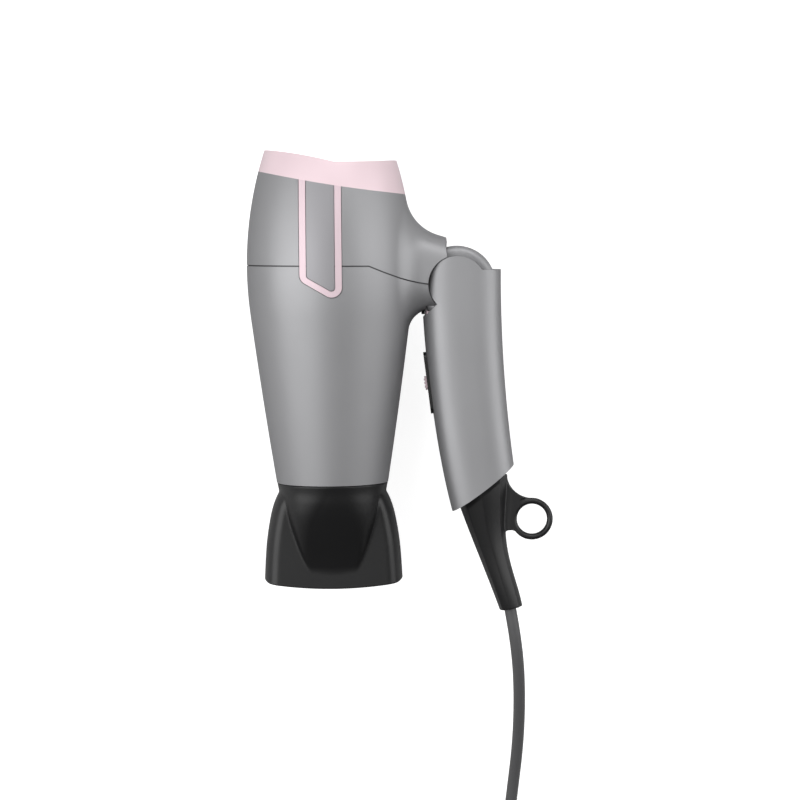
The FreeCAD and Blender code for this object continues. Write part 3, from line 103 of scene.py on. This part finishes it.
def coil_points():
    """Points of the coil: its laps fill one slot of the bundle after the other, with crossings between."""
    points = []
    span = COIL_FIRST_ANGLE - COIL_LAST_ANGLE
    lap = span / len(COIL_SLOTS)
    count = int(span / COIL_STEP)
    for index in range(count + 1):
        angle = span * index / count
        slot = min(int(angle / lap), len(COIL_SLOTS) - 1)
        across, level = COIL_SLOTS[slot]
        into = angle - slot * lap
        if into > lap - COIL_CROSSING and slot + 1 < len(COIL_SLOTS):
            share = (into - lap + COIL_CROSSING) / COIL_CROSSING
            share = share * share * (3 - 2 * share)
            after = COIL_SLOTS[slot + 1]
            across += (after[0] - across) * share
            level += (after[1] - level) * share
        radius = COIL_MIDDLE_RADIUS + across * CORD_DIAMETER
        turn = math.radians(COIL_FIRST_ANGLE - angle)
        points.append((COIL_CENTRE[0] + radius * math.cos(turn), COIL_CENTRE[1] + radius * math.sin(turn),
                       COIL_FLOOR + CORD_DIAMETER * (level + 0.5)))
    return points


def make_cord():
    """The cord from the relief through its put-away coil to the plug, as one smooth curve."""
    route = CORD_ROUTE + coil_points() + TAIL_ROUTE
    curve = bpy.data.curves.new("mains_cord", "CURVE")
    curve.dimensions = "3D"
    spline = curve.splines.new("NURBS")
    spline.points.add(len(route) - 1)
    for point, spot in zip(spline.points, route):
        point.co = (*place(*spot), 1.0)
        point.radius = CORD_DIAMETER / 2 * MM
    spline.order_u = 3
    spline.use_endpoint_u = True
    spline.resolution_u = 6
    curve.bevel_depth = 1.0      # the points' own radius gives the thickness
    curve.bevel_resolution = 5
    cord = bpy.data.objects.new("mains_cord", curve)
    bpy.context.collection.objects.link(cord)
    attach(cord, "handle")
    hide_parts("power_cord", "cord_coil", "cord_tail")
    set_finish(cord, "cord_grey")
    return cord


# ---------------------------------------------------------------- shared by the pieces
def new_piece(name, points, faces, body, node):
    """Smooth mesh that stands for one node of the CAD and moves with a body."""
    mesh = bpy.data.meshes.new(name)
    mesh.from_pydata(points, [], faces)
    mesh.validate()
    mesh.shade_smooth()
    piece = bpy.data.objects.new(name, mesh)
    bpy.context.collection.objects.link(piece)
    row = next(row for row in frame["record"]["subparts"] if row["node"] == node)
    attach(piece, body)
    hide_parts(node)
    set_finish(piece, row["material_slot"])
    return piece


def copy_of_node(name, node):
    """New object with a copy of the node's mesh, where the node is."""
    source = frame["nodes"][node]
    copy = bpy.data.objects.new(name, source.data.copy())
    copy.matrix_world = source.matrix_world
    bpy.context.collection.objects.link(copy)
    return copy


def along(stations, y):
    """Values between the stations at y, on smooth curves through them."""
    if y >= stations[0][0]:
        return stations[0][1:]
    if y <= stations[-1][0]:
        return stations[-1][1:]
    at = next(i for i in range(len(stations) - 1) if stations[i + 1][0] <= y)
    before, after = stations[at], stations[at + 1]
    span = after[0] - before[0]
    share = (y - before[0]) / span
    values = []
    for k in range(1, len(before)):
        slopes = []
        for i in (at, at + 1):
            low, high = stations[max(i - 1, 0)], stations[min(i + 1, len(stations) - 1)]
            slopes.append((high[k] - low[k]) / (high[0] - low[0]) * span)
        a, b = before[k], after[k]
        values.append(a + share * slopes[0] + share ** 2 * (3 * (b - a) - 2 * slopes[0] - slopes[1])
                      + share ** 3 * (2 * (a - b) + slopes[0] + slopes[1]))
    return values


# ---------------------------------------------------------------- nozzle
NOZZLE_TOP = -96.75
NOZZLE_MOUTH = -143.9
NOZZLE_MOUTH_RADIUS = 181.3
NOZZLE_CORNER_START = 28.3
NOZZLE_CORNER_END = 31.2
NOZZLE_CORNER_RISE = 1.1
NOZZLE_LIP = 0.45            # radius of the mouth's rounded edges
NOZZLE_LIP_STEPS = 6
NOZZLE_TOP_EDGE = 0.25       # bevel of the collar's edge against the barrel
NOZZLE_BLEND = 0.7           # where core and fan come this near, a fillet joins them
NOZZLE_BLEND_START = -99.0
NOZZLE_BLEND_FADE = 4.0
NOZZLE_CROWN = 0.6           # how far a flat of full width falls off from its middle to its sides
NOZZLE_CROWN_FLAT = 12.0
NOZZLE_AROUND = 320          # points round the nozzle, down its outside and back up its inside
NOZZLE_DOWN = 96
NOZZLE_BACK = 44
NOZZLE_CROWDING = 1.9        # crowds the points towards the narrow sides
NOZZLE_END_PASSES = 4        # a line's end and its points' radius depend on each other
SPIGOT_SEAT_RADIUS = 20.75
SPIGOT_SEAT_END = -107.5
# y, half width, half depth, half width of the flat in the middle
NOZZLE_CORE = [(NOZZLE_TOP, 24.88, 24.88, 0.0), (-100.2, 24.2, 23.9, 1.5), (-105.0, 23.8, 22.7, 4.0),
               (-110.0, 22.9, 21.0, 7.0), (-116.0, 21.2, 18.6, 9.6), (-126.0, 17.8, 14.7, 11.2),
               (-138.0, 13.8, 10.5, 9.4), (-146.0, 13.4, 7.6, 8.0)]
NOZZLE_FAN = [(NOZZLE_TOP, 20.0, 12.7, 13.5), (-99.4, 23.2, 12.6, 16.5), (-106.0, 26.5, 12.2, 20.0),
              (-115.0, 28.7, 11.7, 22.2), (-126.0, 30.2, 11.4, 23.8), (-146.0, 31.4, 11.0, 25.0)]
NOZZLE_BORE = [(SPIGOT_SEAT_END, 20.4, 19.4, 0.5), (-116.0, 22.0, 14.9, 4.0), (-127.0, 27.0, 9.4, 14.0),
               (-150.0, 29.3, 7.4, 23.0)]


def slab_radius(half_wide, half_deep, flat, turn):
    """Distance from the axis to a section with a flat top and bottom and rounded sides."""
    across, up = abs(math.cos(turn)), abs(math.sin(turn))
    side = half_wide - flat
    if up > 1e-9 and half_deep / up * across <= flat:
        return half_deep / up
    square = (across / side) ** 2 + (up / half_deep) ** 2
    half = flat * across / side ** 2
    return (half + math.sqrt(half ** 2 - square * ((flat / side) ** 2 - 1))) / square


def nozzle_outside(y, turn):
    """Radius of the outside: a core that narrows from the round collar, in a flat fan that widens."""
    half_wide, half_deep, flat = along(NOZZLE_CORE, y)
    core = slab_radius(half_wide, half_deep, flat, turn)
    off = min(abs(core * math.cos(turn)) / max(flat, 0.1), 1.0)
    core -= NOZZLE_CROWN * off ** 2 * abs(math.sin(turn)) * flat / NOZZLE_CROWN_FLAT
    fan = slab_radius(*along(NOZZLE_FAN, y), turn)
    amount = min(1.0, max(0.0, (NOZZLE_BLEND_START - y) / NOZZLE_BLEND_FADE))
    near = max(NOZZLE_BLEND - abs(core - fan), 0.0) * amount
    return max(core, fan) + near ** 2 / (4 * NOZZLE_BLEND)


def nozzle_inside(y, turn):
    """Radius of the inside: the round seat on the spigot, then the air's way to the slot."""
    if y >= SPIGOT_SEAT_END:
        return SPIGOT_SEAT_RADIUS
    return slab_radius(*along(NOZZLE_BORE, y), turn)


def nozzle_mouth(x):
    """Height of the mouth's edge, an arc that rises more at its two corners."""
    corner = max(abs(x) - NOZZLE_CORNER_START, 0.0) / (NOZZLE_CORNER_END - NOZZLE_CORNER_START)
    rise = NOZZLE_MOUTH_RADIUS - math.sqrt(NOZZLE_MOUTH_RADIUS ** 2 - x ** 2)
    return NOZZLE_MOUTH + rise + NOZZLE_CORNER_RISE * corner ** 2


def nozzle_column(radius_at, turn, shares):
    """Points of one line along the nozzle, as radius and y, down to the lip of the curved mouth."""
    points = []
    for share in shares:
        y = NOZZLE_TOP + (NOZZLE_MOUTH - NOZZLE_TOP) * share
        for _ in range(NOZZLE_END_PASSES):
            end = nozzle_mouth(radius_at(y, turn) * math.cos(turn)) + NOZZLE_LIP
            y = NOZZLE_TOP + (end - NOZZLE_TOP) * share
        points.append((radius_at(y, turn), y))
    return points


def nozzle_lip(outer, inner):
    """Points of the rounded lip between the ends of the outside and the inside, as radius and y."""
    lip = []
    for step in range(1, NOZZLE_LIP_STEPS):
        swing = math.pi / 2 * step / NOZZLE_LIP_STEPS
        lip.append((outer[0] - NOZZLE_LIP * (1 - math.cos(swing)), outer[1] - NOZZLE_LIP * math.sin(swing)))
    for step in range(1, NOZZLE_LIP_STEPS):
        swing = math.pi / 2 * (1 - step / NOZZLE_LIP_STEPS)
        lip.append((inner[0] + NOZZLE_LIP * (1 - math.cos(swing)), inner[1] - NOZZLE_LIP * math.sin(swing)))
    return lip


def make_nozzle():
    """The nozzle as one closed skin, from lines that run down its outside and back up its inside."""
    down = [i / NOZZLE_DOWN for i in range(NOZZLE_DOWN + 1)]
    back = [1 - i / NOZZLE_BACK for i in range(NOZZLE_BACK + 1)]
    columns = []
    for index in range(NOZZLE_AROUND):
        even = 2 * math.pi * index / NOZZLE_AROUND
        turn = math.atan2(math.sin(even) / NOZZLE_CROWDING, math.cos(even))
        outside = nozzle_column(nozzle_outside, turn, down)
        inside = nozzle_column(nozzle_inside, turn, back)
        outside[0] = (outside[0][0] - NOZZLE_TOP_EDGE, outside[0][1])
        outside.insert(1, (outside[1][0], NOZZLE_TOP - NOZZLE_TOP_EDGE))
        column = outside + nozzle_lip(outside[-1], inside[0]) + inside
        columns.append([(radius * math.cos(turn), y, radius * math.sin(turn)) for radius, y in column])
    rows = len(columns[0])
    points = [place(*point) for column in columns for point in column]
    faces = []
    for i in range(NOZZLE_AROUND):
        for j in range(rows):
            after, below = (i + 1) % NOZZLE_AROUND, (j + 1) % rows
            faces.append((i * rows + j, i * rows + below, after * rows + below, after * rows + j))
    return new_piece("nozzle_shell", points, faces, "nozzle", "concentrator_nozzle")


# ---------------------------------------------------------------- strain relief
# y, x of the middle, half width, half depth
RELIEF_STATIONS = [(-94.0, 65.5, 13.2, 11.6), (-104.0, 67.0, 11.4, 10.4), (-120.0, 69.6, 8.2, 7.8),
                   (-138.0, 74.6, 6.3, 6.2), (-160.0, 80.9, 4.6, 4.6)]
RELIEF_SQUARENESS = 2.3
RELIEF_SIDES = 8
RELIEF_FLATNESS = 0.6
RELIEF_VOXEL = 0.32
RELIEF_SMOOTHING = 0.5
RELIEF_SMOOTH_PASSES = 5
RELIEF_TOP = -90.0
HANDLE_END = ((54.6, -109.5), (81.6, -89.1))
# the sides are flattened from this far below the handle's end, and fully this much further on
FACET_START = 0.3
FACET_FADE = 2.5
# and only near the relief's own surface, which is at level 1, so that the loop keeps its shape
FACET_LOW_LEVEL = 0.8
FACET_LOW_FADE = 0.12
FACET_HIGH_LEVEL = 1.25
FACET_HIGH_FADE = 0.1
LOOP_CENTRE = (89.6, -114.3)
LOOP_MIDDLE = 8.1
LOOP_HALF_RIM = 1.45
LOOP_DOME = 0.55
LOOP_LEVEL = 1.2
LOOP_REACH = 1.3             # doming stops this many half rims from the rim's middle
LOOP_WEB_EDGE = 5.5          # on its outside the web towards the relief stays flat
LOOP_WEB_FADE = 5.0


def below_handle(x, y):
    """Distance of a point beyond the line across the handle's end."""
    (left, left_y), (right, right_y) = HANDLE_END
    across, down = right - left, right_y - left_y
    return ((x - left) * down - (y - left_y) * across) / math.hypot(across, down)


def rounder(x, y, z):
    """Point of the relief's side moved on to a softly eight-sided section, with the loop's rim domed."""
    middle, half_wide, half_deep = along(RELIEF_STATIONS, y)
    wide, deep = abs(x - middle) / half_wide, abs(z) / half_deep
    level = (wide ** RELIEF_SQUARENESS + deep ** RELIEF_SQUARENESS) ** (1 / RELIEF_SQUARENESS)
    if FACET_LOW_LEVEL < level < FACET_HIGH_LEVEL and y < RELIEF_TOP:
        half_side = math.pi / RELIEF_SIDES
        into = math.atan2(deep, wide) % (2 * half_side) - half_side
        side = 1 - RELIEF_FLATNESS * (1 - math.cos(half_side) / math.cos(into))
        amount = min(1.0, max(0.0, (below_handle(x, y) - FACET_START) / FACET_FADE))
        amount *= min(1.0, (level - FACET_LOW_LEVEL) / FACET_LOW_FADE)
        amount *= min(1.0, (FACET_HIGH_LEVEL - level) / FACET_HIGH_FADE)
        scale = 1 + (side * level / math.hypot(wide, deep) - 1) * amount
        x, z = middle + (x - middle) * scale, z * scale
    reach = math.hypot(x - LOOP_CENTRE[0], y - LOOP_CENTRE[1])
    off = abs(reach - LOOP_MIDDLE) / LOOP_HALF_RIM
    if off < LOOP_REACH and level > LOOP_LEVEL:
        web = 1.0
        if reach > LOOP_MIDDLE:
            web = min(1.0, max(0.0, (x - LOOP_CENTRE[0] + LOOP_WEB_EDGE) / LOOP_WEB_FADE))
        z *= 1 - LOOP_DOME * min(off, 1.0) ** 2 * web
    return x, y, z


def make_relief():
    """Strain relief with soft edges, taken from the solid and rounded."""
    source = copy_of_node("relief_source", "strain_relief")
    remesh = source.modifiers.new("remesh", "REMESH")
    remesh.mode = "VOXEL"
    remesh.voxel_size = RELIEF_VOXEL * MM
    smooth = source.modifiers.new("smooth", "SMOOTH")
    smooth.factor = RELIEF_SMOOTHING
    smooth.iterations = RELIEF_SMOOTH_PASSES
    shape = source.evaluated_get(bpy.context.evaluated_depsgraph_get())
    mesh = shape.to_mesh()
    points = []
    for vertex in mesh.vertices:
        spot = source.matrix_world @ vertex.co / MM - DRAWING_ORIGIN
        points.append(place(*rounder(*spot)))
    faces = [tuple(face.vertices) for face in mesh.polygons]
    shape.to_mesh_clear()
    bpy.data.objects.remove(source)
    return new_piece("relief_shell", points, faces, "handle", "strain_relief")


def make_spring():
    """The button's spring, copied with a mesh of its own and carried by the barrel; the real spring
    shortens as the button goes in.
    """
    spring = copy_of_node("spring_wire", "cool_shot_spring")
    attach(spring, "barrel")
    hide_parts("cool_shot_spring")
    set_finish(spring, "steel")
    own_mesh(spring)
    return spring


# ---------------------------------------------------------------- shader nodes
def feed(tree, socket, value):
    """Links an output to the socket, or sets the socket to a number."""
    if isinstance(value, bpy.types.NodeSocket):
        tree.links.new(value, socket)
    else:
        socket.default_value = value


def maths(tree, operation, *values):
    node = tree.nodes.new("ShaderNodeMath")
    node.operation = operation
    for socket, value in zip(node.inputs, values):
        feed(tree, socket, value)
    return node.outputs[0]


def map_range(tree, value, from_low, from_high, to_low, to_high):
    """Maps a value between two limits on to two others, and holds it at their ends."""
    node = tree.nodes.new("ShaderNodeMapRange")
    for name, limit in (("Value", value), ("From Min", from_low), ("From Max", from_high),
                        ("To Min", to_low), ("To Max", to_high)):
        feed(tree, node.inputs[name], limit)
    return node.outputs["Result"]


def noise(tree, where, scale, detail):
    node = tree.nodes.new("ShaderNodeTexNoise")
    node.inputs["Scale"].default_value = scale
    node.inputs["Detail"].default_value = detail
    tree.links.new(where, node.inputs["Vector"])
    return node.outputs["Fac"]


# ---------------------------------------------------------------- materials
GRAIN_DETAIL = 3.0
DRIFT_SCALE = 28.0
DRIFT_DETAIL = 2.0
DRIFT_MIDDLE = (0.3, 0.7)    # the noise seldom leaves this range


def new_material(name, colour, roughness, metallic=0.0):
    """Material with one Principled shader, and that shader, for the caller to add to."""
    material = bpy.data.materials.new(name)
    material.use_nodes = True
    shader = material.node_tree.nodes["Principled BSDF"]
    shader.inputs["Base Color"].default_value = (*colour, 1.0)
    shader.inputs["Roughness"].default_value = roughness
    shader.inputs["Metallic"].default_value = metallic
    return material, shader


def linear(red, green, blue):
    """Linear colour of an sRGB one, from 0 to 255."""
    def channel(value):
        value /= 255
        return value / 12.92 if value <= 0.04045 else ((value + 0.055) / 1.055) ** 2.4
    return (channel(red), channel(green), channel(blue))


def surface_detail(material, shader, grain_size, grain_height, tint=0.04, rough_swing=0.06):
    """Fine moulded grain, a slow drift of colour and uneven gloss. Sizes are in metres."""
    tree = material.node_tree
    where = tree.nodes.new("ShaderNodeTexCoord").outputs["Object"]
    bump = tree.nodes.new("ShaderNodeBump")
    bump.inputs["Strength"].default_value = 1.0
    bump.inputs["Distance"].default_value = grain_height
    tree.links.new(noise(tree, where, 1 / grain_size, GRAIN_DETAIL), bump.inputs["Height"])
    tree.links.new(bump.outputs["Normal"], shader.inputs["Normal"])
    drift = noise(tree, where, DRIFT_SCALE, DRIFT_DETAIL)
    colour = Vector(shader.inputs["Base Color"].default_value[:3])
    ramp = tree.nodes.new("ShaderNodeMix")
    ramp.data_type = "RGBA"
    ramp.inputs["A"].default_value = (*(colour * (1 - tint)), 1.0)
    ramp.inputs["B"].default_value = (*(colour * (1 + tint)), 1.0)
    tree.links.new(drift, ramp.inputs["Factor"])
    tree.links.new(ramp.outputs["Result"], shader.inputs["Base Color"])
    level = shader.inputs["Roughness"].default_value
    rough = map_range(tree, drift, *DRIFT_MIDDLE, level - rough_swing / 2, level + rough_swing / 2)
    tree.links.new(rough, shader.inputs["Roughness"])


def moulded(name, colour, roughness, grain_size, grain_height, metallic=0.0, gloss=0.5, edge=1.0, **detail):
    """Material with a surface's grain. An edge under 1 weakens its gloss, on metal at flat angles only."""
    material, shader = new_material(name, colour, roughness, metallic)
    shader.inputs["Specular IOR Level"].default_value = gloss
    shader.inputs["Specular Tint"].default_value = (edge, edge, edge, 1.0)
    surface_detail(material, shader, grain_size, grain_height, **detail)
    return material


# the seam between the housings, along which shade is painted: x and y where its slope changes
SEAM_CORNERS = [(-60.0, 1.39), (17.8, 0.5), (24.1, -2.2), (31.6, -5.1), (35.5, -6.3), (39.5, -7.2),
                (46.0, -8.2)]
SEAM_HALF_WIDTH = 0.27
SEAM_FADE = 0.1
SEAM_PAINTED_SHADE = 0.3             # painted shade: share of the colour that is left in the seam groove


def paint_seam_shadow(material):
    """Paints shade into the colour along the real seam groove between the two housings."""
    tree = material.node_tree
    split = tree.nodes.new("ShaderNodeSeparateXYZ")
    tree.links.new(tree.nodes.new("ShaderNodeTexCoord").outputs["Object"], split.inputs[0])
    off = split.outputs["Y"]
    level = place(*SEAM_CORNERS[0]).y
    for (x, y), (after_x, after_y) in zip(SEAM_CORNERS, SEAM_CORNERS[1:]):
        step = map_range(tree, split.outputs["X"], place(x, y).x, place(after_x, after_y).x,
                         level, level + (after_y - y) * MM)
        off = maths(tree, "SUBTRACT", off, step)
        level = 0.0
    shade = map_range(tree, maths(tree, "ABSOLUTE", off), SEAM_HALF_WIDTH * MM,
                      (SEAM_HALF_WIDTH + SEAM_FADE) * MM, SEAM_PAINTED_SHADE, 1.0)
    darker = tree.nodes.new("ShaderNodeVectorMath")
    darker.operation = "SCALE"
    colour = tree.nodes["Principled BSDF"].inputs["Base Color"]
    tree.links.new(colour.links[0].from_socket, darker.inputs[0])
    tree.links.new(shade, darker.inputs["Scale"])
    tree.links.new(darker.outputs[0], colour)


HOUSING = ((163, 163, 165), 0.5, 0.0006, 0.000006, {"metallic": 0.6, "gloss": 0.3, "edge": 0.45})
PANEL = {"metallic": 0.5, "gloss": 0.3, "edge": 0.45}
PINK = {"metallic": 0.15, "edge": 0.7}
METAL = {"metallic": 1.0}
# sRGB colour, roughness, size and height of the grain in metres, and what differs from moulded's defaults
FINISHES = {
    "housing_grey": HOUSING,
    # the housings' grey with painted shade along the seam groove
    "grey_with_painted_seam_shade": HOUSING,
    "panel_grey": ((162, 161, 164), 0.5, 0.0006, 0.000006, PANEL),
    "pink_ring": ((243, 220, 226), 0.36, 0.002, 0.000003, PINK),
    "pink_trim": ((229, 207, 214), 0.42, 0.002, 0.000003, PINK),
    "black_plastic": ((18, 18, 19), 0.38, 0.0005, 0.000012, {}),
    "inner_black": ((52, 52, 54), 0.45, 0.0006, 0.000012, {}),
    "white_plastic": ((214, 212, 206), 0.4, 0.0006, 0.000008, {}),
    "steel": ((176, 176, 178), 0.3, 0.0003, 0.000004, METAL),
    "motor_steel": ((168, 168, 170), 0.28, 0.0003, 0.000004, METAL),
    "mica": ((205, 190, 158), 0.4, 0.0012, 0.00003, {"tint": 0.15}),
    "wire": ((128, 124, 122), 0.4, 0.0004, 0.00001, METAL),
    "brass": ((196, 178, 132), 0.25, 0.0003, 0.000004, METAL),
    "board": ((54, 110, 70), 0.35, 0.0008, 0.00001, {}),
    "cord_grey": ((88, 88, 89), 0.5, 0.0005, 0.00002, {}),
    "lead_red": ((140, 40, 38), 0.5, 0.0006, 0.00001, {}),
}


def make_materials():
    made = {}
    for name, (colour, roughness, grain_size, grain_height, special) in FINISHES.items():
        made[name] = moulded(name, linear(*colour), roughness, grain_size, grain_height, **special)
    # paints the seam groove's shade into the housings' grey
    paint_seam_shadow(made["grey_with_painted_seam_shade"])
    return made


def dress_nodes(materials):
    """Gives each CAD node the material of its slot, and the two housings the one with painted shade along
    the seam.
    """
    for row in frame["record"]["subparts"]:
        node = frame["nodes"][row["node"]]
        finish = "grey_with_painted_seam_shade" if row["node"] in ("front_housing", "rear_housing") else row["material_slot"]
        node.data.materials.clear()
        node.data.materials.append(materials[finish])


# ---------------------------------------------------------------- floor
FLOOR_HALF_SIZE = 15.0
FLOOR_DROP = 0.0002
FLOOR_ALBEDO = 0.55
FLOOR_ROUGHNESS = 0.9
FLOOR_GLOW = 0.85            # lifts the floor to white where the camera sees it
FLOOR_BOUNCE = 0.30          # albedo for the diffuse light that the floor sends up to the object


def seen_rays(tree):
    """1 for rays from the camera, from gloss and through glass, and 0 for rays of diffuse light."""
    path = tree.nodes.new("ShaderNodeLightPath")
    total = path.outputs["Is Camera Ray"]
    for name in ("Is Glossy Ray", "Is Transmission Ray"):
        total = maths(tree, "MAXIMUM", total, path.outputs[name])
    return total


def make_floor():
    """White floor that keeps the object's shadow."""
    half = FLOOR_HALF_SIZE
    corners = [(-half, -half, 0), (half, -half, 0), (half, half, 0), (-half, half, 0)]
    mesh = bpy.data.meshes.new("floor")
    mesh.from_pydata(corners, [], [(0, 1, 2, 3)])
    floor = bpy.data.objects.new("floor", mesh)
    floor.location.z = -FLOOR_DROP
    bpy.context.collection.objects.link(floor)
    material, shader = new_material("floor_white", (FLOOR_ALBEDO,) * 3, FLOOR_ROUGHNESS)
    tree = material.node_tree
    camera_ray = tree.nodes.new("ShaderNodeLightPath").outputs["Is Camera Ray"]
    glow = tree.nodes.new("ShaderNodeEmission")
    tree.links.new(maths(tree, "MULTIPLY", camera_ray, FLOOR_GLOW), glow.inputs["Strength"])
    add = tree.nodes.new("ShaderNodeAddShader")
    bounce = tree.nodes.new("ShaderNodeBsdfDiffuse")
    bounce.inputs["Color"].default_value = (FLOOR_BOUNCE, FLOOR_BOUNCE, FLOOR_BOUNCE, 1.0)
    mix = tree.nodes.new("ShaderNodeMixShader")
    tree.links.new(shader.outputs[0], add.inputs[0])
    tree.links.new(glow.outputs[0], add.inputs[1])
    tree.links.new(seen_rays(tree), mix.inputs["Fac"])
    tree.links.new(bounce.outputs[0], mix.inputs[1])
    tree.links.new(add.outputs[0], mix.inputs[2])
    tree.links.new(mix.outputs[0], tree.nodes["Material Output"].inputs["Surface"])
    mesh.materials.append(material)


# ---------------------------------------------------------------- light
# name, place in metres, width, height, power: a large softbox at the left, a weaker one at the
# right, and one behind the inlet
SOFTBOXES = [("key_left", (-0.97, 0.04, 0.92), 0.9, 1.75, 14.3),
             ("fill_right", (1.15, 0.15, 0.62), 0.95, 1.3, 8.0),
             ("top_back", (0.2, 1.15, 0.75), 1.2, 0.7, 7.0)]
SOFTBOX_AIM = (0.0, 0.0, 0.03)
# the ceiling is brightest near this direction and fades to the horizon
CEILING_AXIS = (0.0, 0.3, 0.954)
CEILING_FADE = (0.6, 0.95)
CEILING_STRENGTH = 0.5
HORIZON_STRENGTH = 0.08


def make_softboxes():
    for name, spot, width, height, power in SOFTBOXES:
        data = bpy.data.lights.new(name, "AREA")
        data.shape = "RECTANGLE"
        data.size = width
        data.size_y = height
        data.energy = power
        light = bpy.data.objects.new(name, data)
        bpy.context.collection.objects.link(light)
        light.location = spot
        light.rotation_euler = (Vector(SOFTBOX_AIM) - Vector(spot)).to_track_quat("-Z", "Y").to_euler()


def make_world():
    """A bright ceiling that darkens to the horizon, and plain white where the camera sees it."""
    world = bpy.data.worlds.new("studio")
    bpy.context.scene.world = world
    world.use_nodes = True
    tree = world.node_tree
    background = tree.nodes["Background"]
    height = tree.nodes.new("ShaderNodeVectorMath")
    height.operation = "DOT_PRODUCT"
    height.inputs[1].default_value = CEILING_AXIS
    tree.links.new(tree.nodes.new("ShaderNodeTexCoord").outputs["Generated"], height.inputs[0])
    fade = map_range(tree, height.outputs["Value"], *CEILING_FADE, HORIZON_STRENGTH, CEILING_STRENGTH)
    camera_ray = tree.nodes.new("ShaderNodeLightPath").outputs["Is Camera Ray"]
    tree.links.new(maths(tree, "MAXIMUM", fade, camera_ray), background.inputs["Strength"])
    background.inputs["Color"].default_value = (1.0, 1.0, 1.0, 1.0)


# ---------------------------------------------------------------- scene
make_camera()
pieces = [make_cord(), make_nozzle(), make_relief(), make_spring()]
materials = make_materials()
dress_nodes(materials)
for piece in pieces:
    piece.data.materials.clear()
    piece.data.materials.append(materials[piece["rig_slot"]])
make_floor()
make_softboxes()
make_world()
bpy.context.scene.view_settings.view_transform = "Standard"

bpy.context.view_layer.update()
